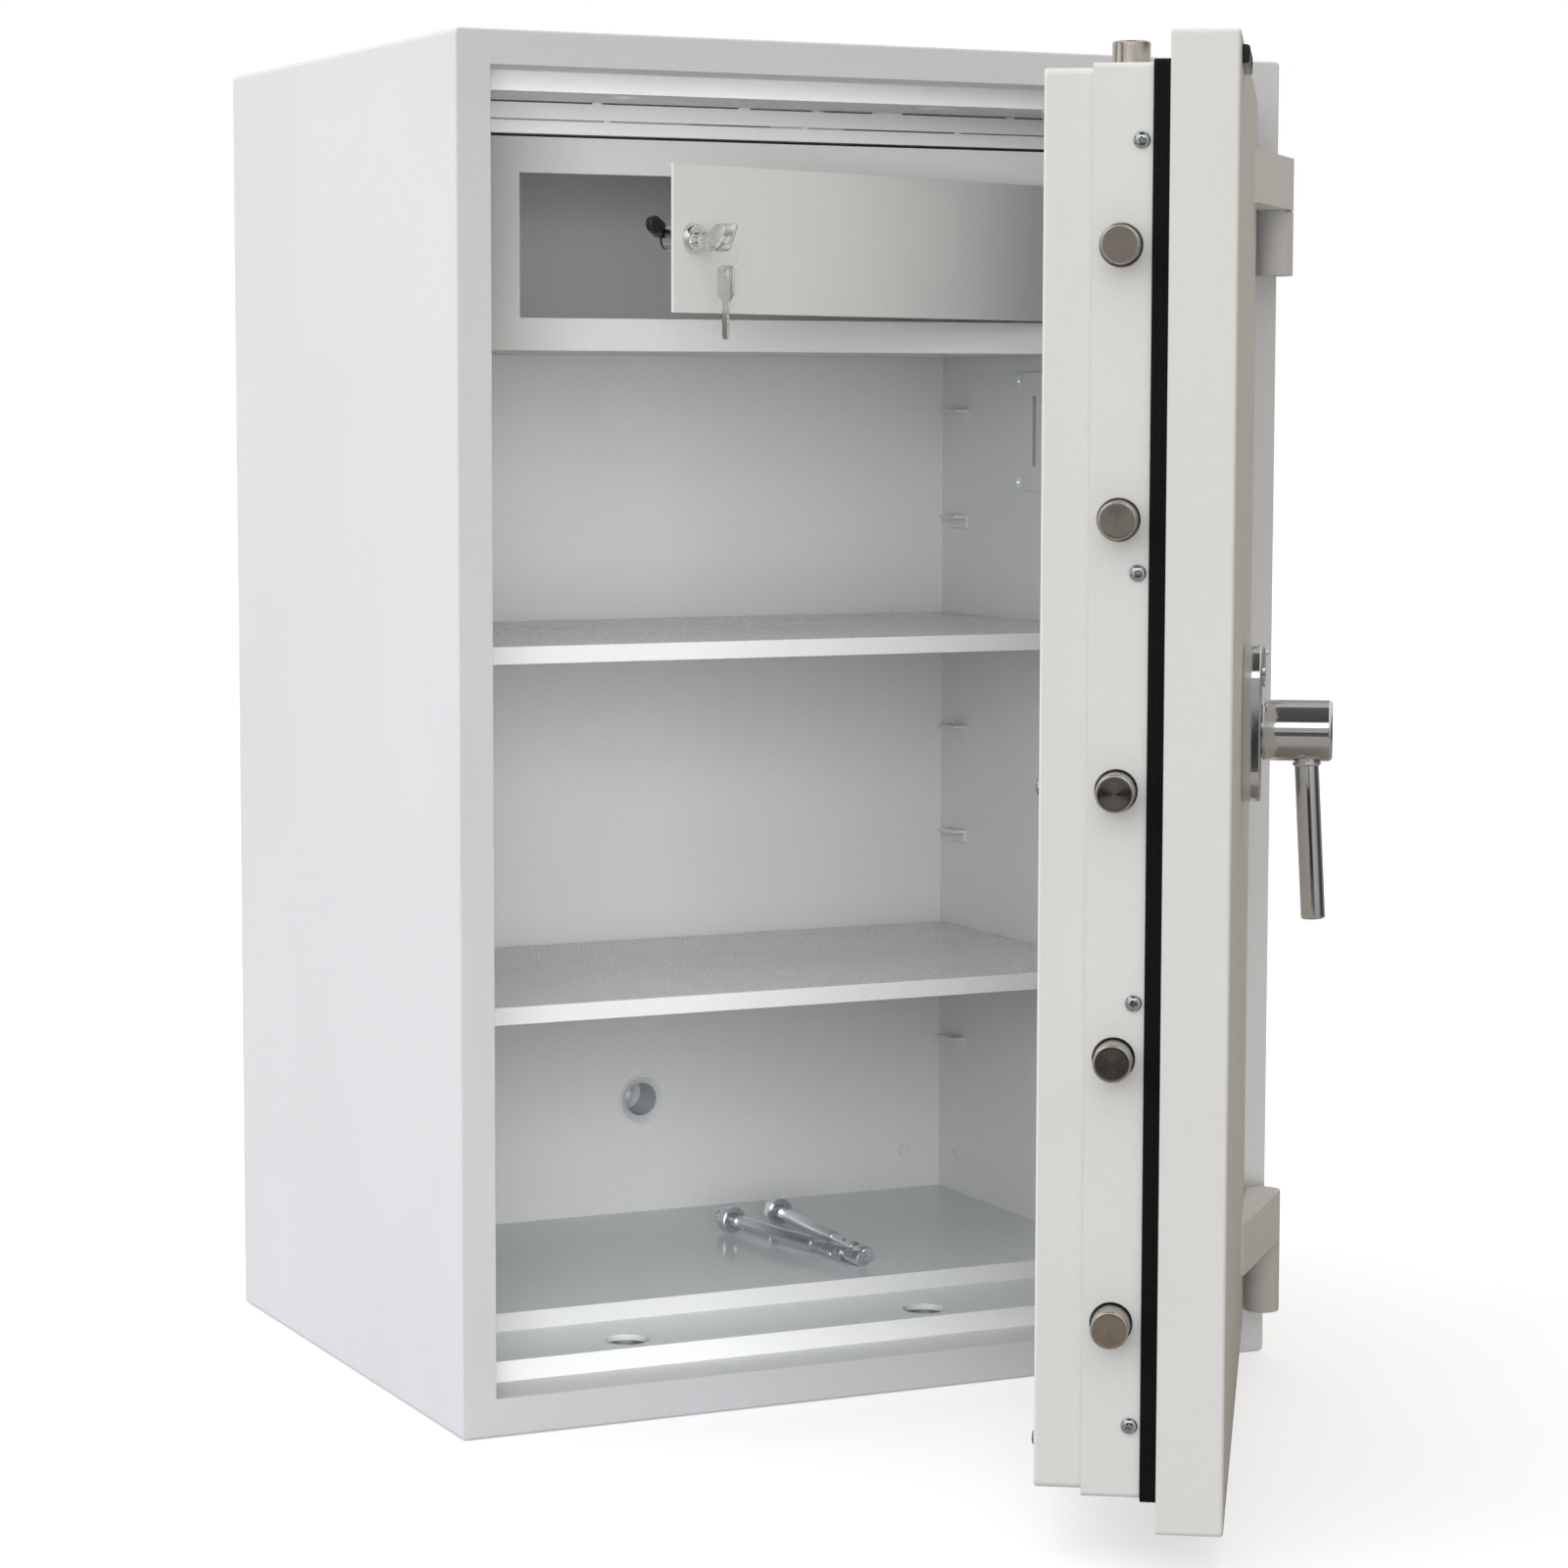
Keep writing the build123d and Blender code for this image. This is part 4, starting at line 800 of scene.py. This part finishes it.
# ------------------------------------------------------------------ expansion anchors lying on the floor
ANCH = [M_CAB @ T(ax, ay, 51.5 + 10.62) @ R(ang, 'Z') @ R(1.79, 'X') @ R(roll, 'Y') @ R(90, 'X')
        for (ax, ay, ang, roll) in ((325.4, 315.8, 13.81, 30), (374.4, 331.1, 0.0, 12))]
ROD, CLIP, NUT, WASH = [], [], [], []
bmr = bmesh.new()
bmn = bmesh.new()
for M in ANCH:
    # shank, local z = 0 at the threaded end, towards the tip
    prof = [(0, 0.0), (3.6, 0.0), (4.1, 0.5), (4.35, 0.9)]
    zz = 0.9
    while zz < 24.0:
        ph = (zz / 1.5) % 1.0
        prof.append((4.38 + 0.55 * (1 - abs(2 * ph - 1)), zz))
        zz += 0.1875
    prof += [(4.9, 24.3), (5.0, 24.8), (5.0, 60.0), (5.0, 110.2), (4.85, 110.8), (3.9, 111.0), (3.9, 129.0), (3.9, 147.0), (5.3, 158.0), (5.3, 164.0), (5.05, 164.6), (4.4, 165.0), (3.3, 164.9), (0, 164.7)]
    lathe(bmr, prof, M, 72)

    # expansion clip: split sleeve with pressed dimples
    def clip_r(r, z, a):
        if r < 4.6:
            return r
        d = 0.0
        for (az, aa) in ((133.0, 0.3), (138.5, 1.35), (133.5, 2.4), (139.0, 3.45), (133.0, 4.5), (138.5, 5.5)):
            da = ((a - aa + math.pi) % (2 * math.pi) - math.pi) * 5.4
            d += 0.75 * math.exp(-((z - az) ** 2 / 1.6 + da * da / 1.3))
        gap = 0.0
        for g in (0.85, 0.85 + math.pi):
            da = ((a - g + math.pi) % (2 * math.pi) - math.pi) * 5.4
            if z > 134.0 and abs(da) < 0.75:
                gap = max(gap, 0.9 * (1 - (abs(da) / 0.75) ** 4))
        return max(4.3, r - d - gap)
    pr = [(4.1, 128.2), (5.1, 128.0), (5.4, 128.4)] + [(5.4, 128.4 + 0.4 * k) for k in range(1, 43)] + [(5.4, 145.6), (5.15, 146.0), (4.2, 145.9), (4.1, 140.0)]
    tube(bmr, pr, M, 120, rfun=clip_r)
    # nut with chamfered ends, washer
    afn = 17.0
    rcn = afn / math.sqrt(3)
    tube(bmn, [(5.1, 8.5), (5.6, 8.0), (8.35, 8.0), (9.1, 8.35), (rcn, 8.9), (rcn, 15.1), (9.1, 15.7), (8.35, 16.0), (5.6, 16.0), (5.1, 15.5)], M, 144, rfun=nut_radius(afn))
    tube(bmn, [(5.35, 16.1), (9.6, 16.1), (9.95, 16.4), (10.0, 16.8), (10.0, 17.4), (9.95, 17.8), (9.6, 18.1), (5.35, 18.1)], M, 96)
finish('anchor_rods_and_clips', bmr, Matrix(), m_zinc, 'cabinet', ['anchor_bolts'], angle=28)
finish('anchor_nuts_and_washers', bmn, Matrix(), m_zinc, 'cabinet', ['anchor_nuts'], angle=24)

# ------------------------------------------------------------------ open seams drawn as thin dark strips of painted shadow, and weld spots under the ceiling of the doorway
def blob(bm, c, rx, ry, rz, n=14):
    prof = [(math.sin(math.pi * i / n), -math.cos(math.pi * i / n)) for i in range(n + 1)]
    prof[0], prof[-1] = (0, -1), (0, 1)
    lathe(bm, prof, T(*c) @ Matrix.Diagonal((rx, ry, rz, 1)), 24)


def strip(bm, xa, xb, y, z, h, d=0.25):
    v = [bm.verts.new((x, yy, zz)) for x in (xa, xb) for yy in (y - d, y + 0.2) for zz in (z - h / 2, z + h / 2)]
    for f in ((0, 1, 3, 2), (4, 6, 7, 5), (0, 4, 5, 1), (2, 3, 7, 6), (0, 2, 6, 4), (1, 5, 7, 3)):
        bm.faces.new([v[i] for i in f])


SEAM1 = [(38.5, 143.6), (150.8, 251.0), (260.0, 305.5), (306.2, 314.0), (314.6, 352.0), (375.5, 456.7), (463.4, 565.0)]
SEAM2 = [(49.0, 152.0, 0.30), (157.0, 214.0, 0.30), (214.0, 275.0, 0.55), (276.0, 329.0, 0.18), (330.0, 416.0, 0.60), (421.5, 484.0, 0.32), (484.0, 555.0, 0.28)]
bm = bmesh.new()
for i, (a, b) in enumerate(SEAM1):
    strip(bm, a, b, 122.0, 864.72 + (0.0, 0.12, -0.05, 0.1, -0.02, 0.1, 0.0)[i], 0.4 if i == 3 else 0.95)
for (a, b, h) in SEAM2:
    strip(bm, a, b, 122.0, 853.0, h)
finish('painted_seam_shadow_strips', bm, M_CAB, m_gap, 'cabinet', angle=30)
bm = bmesh.new()
for x, w in ((147.2, 3.2), (255.5, 4.2), (310.0, 2.6), (355.5, 3.0), (370.5, 3.4), (460.0, 3.4)):
    blob(bm, (x, 121.9, 864.7), w, 0.8, 1.1)
for x, w in ((154.5, 2.6), (301.0, 2.6), (418.7, 2.6)):
    blob(bm, (x, 121.9, 853.0), w, 0.6, 1.0)
finish('weld_spots', bm, M_CAB, m_inner, 'cabinet', angle=60)

# ------------------------------------------------------------------ floor, light, camera
bm = bmesh.new()
S, N = 14.0, 28
grid = [[bm.verts.new((-S + 2 * S * i / N, -S + 2 * S * j / N, -0.0006)) for j in range(N + 1)] for i in range(N + 1)]
for i in range(N):
    for j in range(N):
        bm.faces.new((grid[i][j], grid[i + 1][j], grid[i + 1][j + 1], grid[i][j + 1]))
me = bpy.data.meshes.new('studio_floor')
bm.to_mesh(me)
bm.free()
floor = bpy.data.objects.new('studio_floor', me)
bpy.context.scene.collection.objects.link(floor)
t = Tree('pale_floor')
g = t.noise(3.0, 2.0)
path = t.n('ShaderNodeLightPath')
seen, mirror = path.outputs['Is Camera Ray'], path.outputs['Is Glossy Ray']
at = t.n('ShaderNodeSeparateXYZ')
t.link(t.coord(), at.inputs[0])
# light that comes back from the paper: cool on the left, warm on the right of the safe
bounce = t.mix(t.rng(at.outputs[0], 0.0, 0.9, 0, 1), (0.56, 0.56, 0.57), (0.55, 0.53, 0.49))
bounce = t.mix(mirror, bounce, (0.30, 0.285, 0.27))
t.color(t.mix(t.rng(g, 0.3, 0.7, 0, 1), t.mix(seen, bounce, (0.46, 0.475, 0.50)), t.mix(seen, bounce, (0.48, 0.495, 0.52))))
t.p.inputs['Roughness'].default_value = 0.9
t.p.inputs['Specular IOR Level'].default_value = 0.1
t.p.inputs['Emission Color'].default_value = (1, 1, 1, 1)
t.link(t.math('MULTIPLY', seen, 0.58), t.p.inputs['Emission Strength'])
# in reflections the paper ends 1.5 m in front of the safe, and the dark room begins
far = t.math('SQRT', t.math('ADD', t.math('MULTIPLY', at.outputs[0], at.outputs[0]), t.math('POWER', t.math('ADD', at.outputs[1], 0.45), 2.0)))
ends = t.n('ShaderNodeMixShader')
t.link(t.math('MULTIPLY', mirror, t.rng(far, 1.25, 1.6, 0.0, 1.0)), ends.inputs[0])
t.link(t.p.outputs[0], ends.inputs[1])
t.link(t.n('ShaderNodeBsdfTransparent').outputs[0], ends.inputs[2])
t.link(ends.outputs[0], t.out.inputs[0])
me.materials.append(t.m)

scene = bpy.context.scene
w = bpy.data.worlds.new('studio')
scene.world = w
w.use_nodes = True
nt = w.node_tree
nt.nodes.clear()
N_ = nt.nodes.new
out = N_('ShaderNodeOutputWorld')
tc = N_('ShaderNodeTexCoord')
lp = N_('ShaderNodeLightPath')


def wmath(op, a, b=None, c=None, clamp=False):
    nd = N_('ShaderNodeMath')
    nd.operation = op
    nd.use_clamp = clamp
    for i, x in enumerate((a, b, c)):
        if x is None:
            continue
        if isinstance(x, (int, float)):
            nd.inputs[i].default_value = x
        else:
            nt.links.new(x, nd.inputs[i])
    return nd.outputs[0]


sep = N_('ShaderNodeSeparateXYZ')
nt.links.new(tc.outputs['Generated'], sep.inputs[0])
X, Y, Z = sep.outputs
# soft gradient light: brighter from the left and from above
soft = wmath('ADD', wmath('ADD', wmath('MULTIPLY', X, -1.10), wmath('MULTIPLY', Y, 0.16)), wmath('MULTIPLY_ADD', Z, 0.95, 0.575))
soft = wmath('MAXIMUM', soft, 0.03)
# cool from the left, warm from the right
wc = N_('ShaderNodeMix')
wc.data_type = 'RGBA'
nt.links.new(wmath('MULTIPLY_ADD', X, 1.3, 0.05, clamp=True), wc.inputs[0])
wc.inputs[6].default_value = (0.995, 1.0, 1.008, 1)
wc.inputs[7].default_value = (1.24, 1.0, 0.66, 1)
soft_col = wc.outputs[2]
# what polished metal sees: a dark room in front with bright bands, soft light panels at both sides
FWD = wmath('ADD', wmath('MULTIPLY', X, 0.43), wmath('MULTIPLY', Y, 0.90))
SIDE = wmath('ADD', wmath('MULTIPLY', X, 0.904), wmath('MULTIPLY', Y, -0.428))
ELEV = wmath('MULTIPLY_ADD', wmath('ARCTAN2', Z, wmath('MULTIPLY', FWD, -1.0)), 0.5 / math.pi, 0.5)


def ramp(value, stops, mode='LINEAR'):
    r = N_('ShaderNodeValToRGB')
    r.color_ramp.interpolation = mode
    el = r.color_ramp.elements
    el[0].position, el[0].color = stops[0][0], (*([stops[0][1]] * 3), 1)
    el[1].position, el[1].color = stops[-1][0], (*([stops[-1][1]] * 3), 1)
    for (q, v) in stops[1:-1]:
        e = el.new(q)
        e.color = (v, v, v, 1)
    nt.links.new(value, r.inputs[0])
    c = N_('ShaderNodeSeparateColor')
    nt.links.new(r.outputs[0], c.inputs[0])
    return c.outputs[0]


deg = lambda a: a / 360.0 + 0.5
bands = ramp(ELEV, [(0.0, 0.12), (deg(-101), 0.12), (deg(-97), 0.85), (deg(-82), 0.85), (deg(-78), 0.20), (deg(-33), 0.25), (deg(-29), 0.045),
                    (deg(-17), 0.045), (deg(-12.5), 0.12), (deg(-9), 0.11), (deg(-6), 0.025), (deg(-1), 0.02), (deg(2.5), 0.06), (deg(5), 0.04),
                    (deg(14), 0.04), (deg(16.5), 1.4), (deg(33), 1.3), (deg(37), 0.06), (deg(100), 0.10), (deg(106), 0.52), (deg(125), 0.45), (deg(150), 0.32), (1.0, 0.22)])
left = ramp(wmath('MULTIPLY_ADD', Z, 0.5, 0.5), [(0.0, 0.22), (0.25, 0.35), (0.42, 0.50), (0.52, 0.62), (0.60, 0.90), (0.80, 1.05), (1.0, 0.9)], 'EASE')
left = wmath('MULTIPLY', left, ramp(wmath('MULTIPLY_ADD', SIDE, 0.5, 0.5), [(0.0, 1.25), (0.02, 1.25), (0.03, 0.2), (0.075, 0.2), (0.10, 1.0), (1.0, 1.0)]))
rightp = ramp(wmath('MULTIPLY_ADD', Z, 0.5, 0.5), [(0.0, 0.15), (0.30, 0.25), (0.46, 0.42), (0.55, 0.55), (0.70, 0.80), (1.0, 0.8)], 'EASE')
rightp = wmath('MULTIPLY', rightp, ramp(wmath('MULTIPLY_ADD', SIDE, 0.5, 0.5), [(0.0, 1.0), (0.80, 1.0), (0.93, 0.75), (0.97, 0.25), (1.0, 0.12)]))
kl = ramp(wmath('MULTIPLY_ADD', SIDE, 0.5, 0.5), [(0.0, 1.0), (0.285, 1.0), (0.32, 0.0), (1.0, 0.0)])
kr = ramp(wmath('MULTIPLY_ADD', SIDE, 0.5, 0.5), [(0.0, 0.0), (0.60, 0.0), (0.65, 1.0), (1.0, 1.0)])
mid = wmath('SUBTRACT', wmath('SUBTRACT', 1.0, kl), kr)
glossy = wmath('ADD', wmath('ADD', wmath('MULTIPLY', left, kl), wmath('MULTIPLY', rightp, kr)), wmath('MULTIPLY', bands, mid))


def bg(strength, col=(1, 1, 1, 1)):
    b = N_('ShaderNodeBackground')
    if isinstance(col, tuple):
        b.inputs[0].default_value = col
    else:
        nt.links.new(col, b.inputs[0])
    if isinstance(strength, (int, float)):
        b.inputs[1].default_value = strength
    else:
        nt.links.new(strength, b.inputs[1])
    return b.outputs[0]


def wmix(f, a, b):
    m = N_('ShaderNodeMixShader')
    nt.links.new(f, m.inputs[0])
    nt.links.new(a, m.inputs[1])
    nt.links.new(b, m.inputs[2])
    return m.outputs[0]


s1 = wmix(lp.outputs['Is Glossy Ray'], bg(soft, soft_col), bg(glossy, (1.0, 0.985, 0.96, 1)))
s2 = wmix(lp.outputs['Is Camera Ray'], s1, bg(1.0))
nt.links.new(s2, out.inputs[0])


def area(name, loc, target, size, power, col=(1, 1, 1)):
    l = bpy.data.lights.new(name, 'AREA')
    l.shape = 'RECTANGLE'
    l.size, l.size_y = size
    l.energy = power
    l.color = col
    ob = bpy.data.objects.new(name, l)
    ob.location = loc
    ob.rotation_euler = (Vector(target) - Vector(loc)).to_track_quat('-Z', 'Y').to_euler()
    scene.collection.objects.link(ob)
    return ob


area('front_softbox', (-1.7, -2.85, 1.15), (-0.03, 0.0, 0.45), (2.0, 1.8), 4.0)


def group(name, nodes, pieces=()):
    c = bpy.data.collections.new(name)
    for n in nodes:
        c.objects.link(NODES[n])
    for n in pieces:
        c.objects.link(bpy.data.objects[n])
    return c


# the photograph is lit softly right into the cabinet: fills that reach only the inside
fill = area('inside_softbox', (-1.1, -3.0, 0.80), (-0.03, 0.1, 0.42), (2.0, 1.8), 86.0)
fill.light_linking.receiver_collection = group('inside_of_the_safe', (
    'inner_liner', 'liner_back_wall', 'door_frame', 'anchor_sleeve', 'wall_plugs', 'wall_cover_plate', 'wall_cover_screws', 'shelf_tabs',
    'upper_shelf', 'lower_shelf', 'compartment_box', 'bolt_socket_cups'), ('anchor_rods_and_clips', 'anchor_nuts_and_washers', 'weld_spots', 'painted_seam_shadow_strips'))
fill = area('compartment_softbox', (-1.85, -2.8, 0.95), (-0.03, 0.1, 0.7), (1.4, 1.4), 58.0)
fill.light_linking.receiver_collection = group('compartment', ('compartment_front',))
fill = area('low_front_softbox', (0.03, -0.85, 0.05), (0.06, -0.2, 0.03), (0.40, 0.10), 1.35)
fill.visible_camera = False
fill.visible_glossy = False
fill.light_linking.receiver_collection = group('base_of_the_cabinet', ('outer_casing', 'door_frame'))
fill = area('inner_door_softbox', (-0.9, -3.0, 0.95), (-0.03, 0.1, 0.6), (2.0, 1.8), 26.0)
fill.light_linking.receiver_collection = group('inner_door_group', ('inner_door_panel',), (
    'cam_lock_housing', 'cam_lock_core', 'cam_lock_hex_nut', 'cam_black_cap', 'key_in_lock', 'spare_key_hanging', 'split_ring'))

cam = bpy.data.cameras.new('photo_view')
cam.sensor_width = 36.0
cam.sensor_fit = 'HORIZONTAL'
cam.lens = 94.43
cam.clip_start, cam.clip_end = 0.05, 100.0
co = bpy.data.objects.new('photo_view', cam)
yaw, pitch, roll = (math.radians(a) for a in (25.34, 5.40, -0.12))
fwd = Vector((math.sin(yaw) * math.cos(pitch), math.cos(yaw) * math.cos(pitch), -math.sin(pitch)))
right = Vector((math.cos(yaw), -math.sin(yaw), 0))
down = fwd.cross(right)
rt = right * math.cos(roll) + down * math.sin(roll)
dn = -right * math.sin(roll) + down * math.cos(roll)
mat = Matrix((rt, -dn, -fwd)).transposed().to_4x4()
mat.translation = Vector((-1.2278, -2.6623, 0.6716))
co.matrix_world = mat
scene.collection.objects.link(co)
scene.camera = co
scene.view_settings.view_transform = 'Standard'
scene.view_settings.look = 'None'
scene.view_settings.exposure = 0.0
scene.view_settings.gamma = 1.0
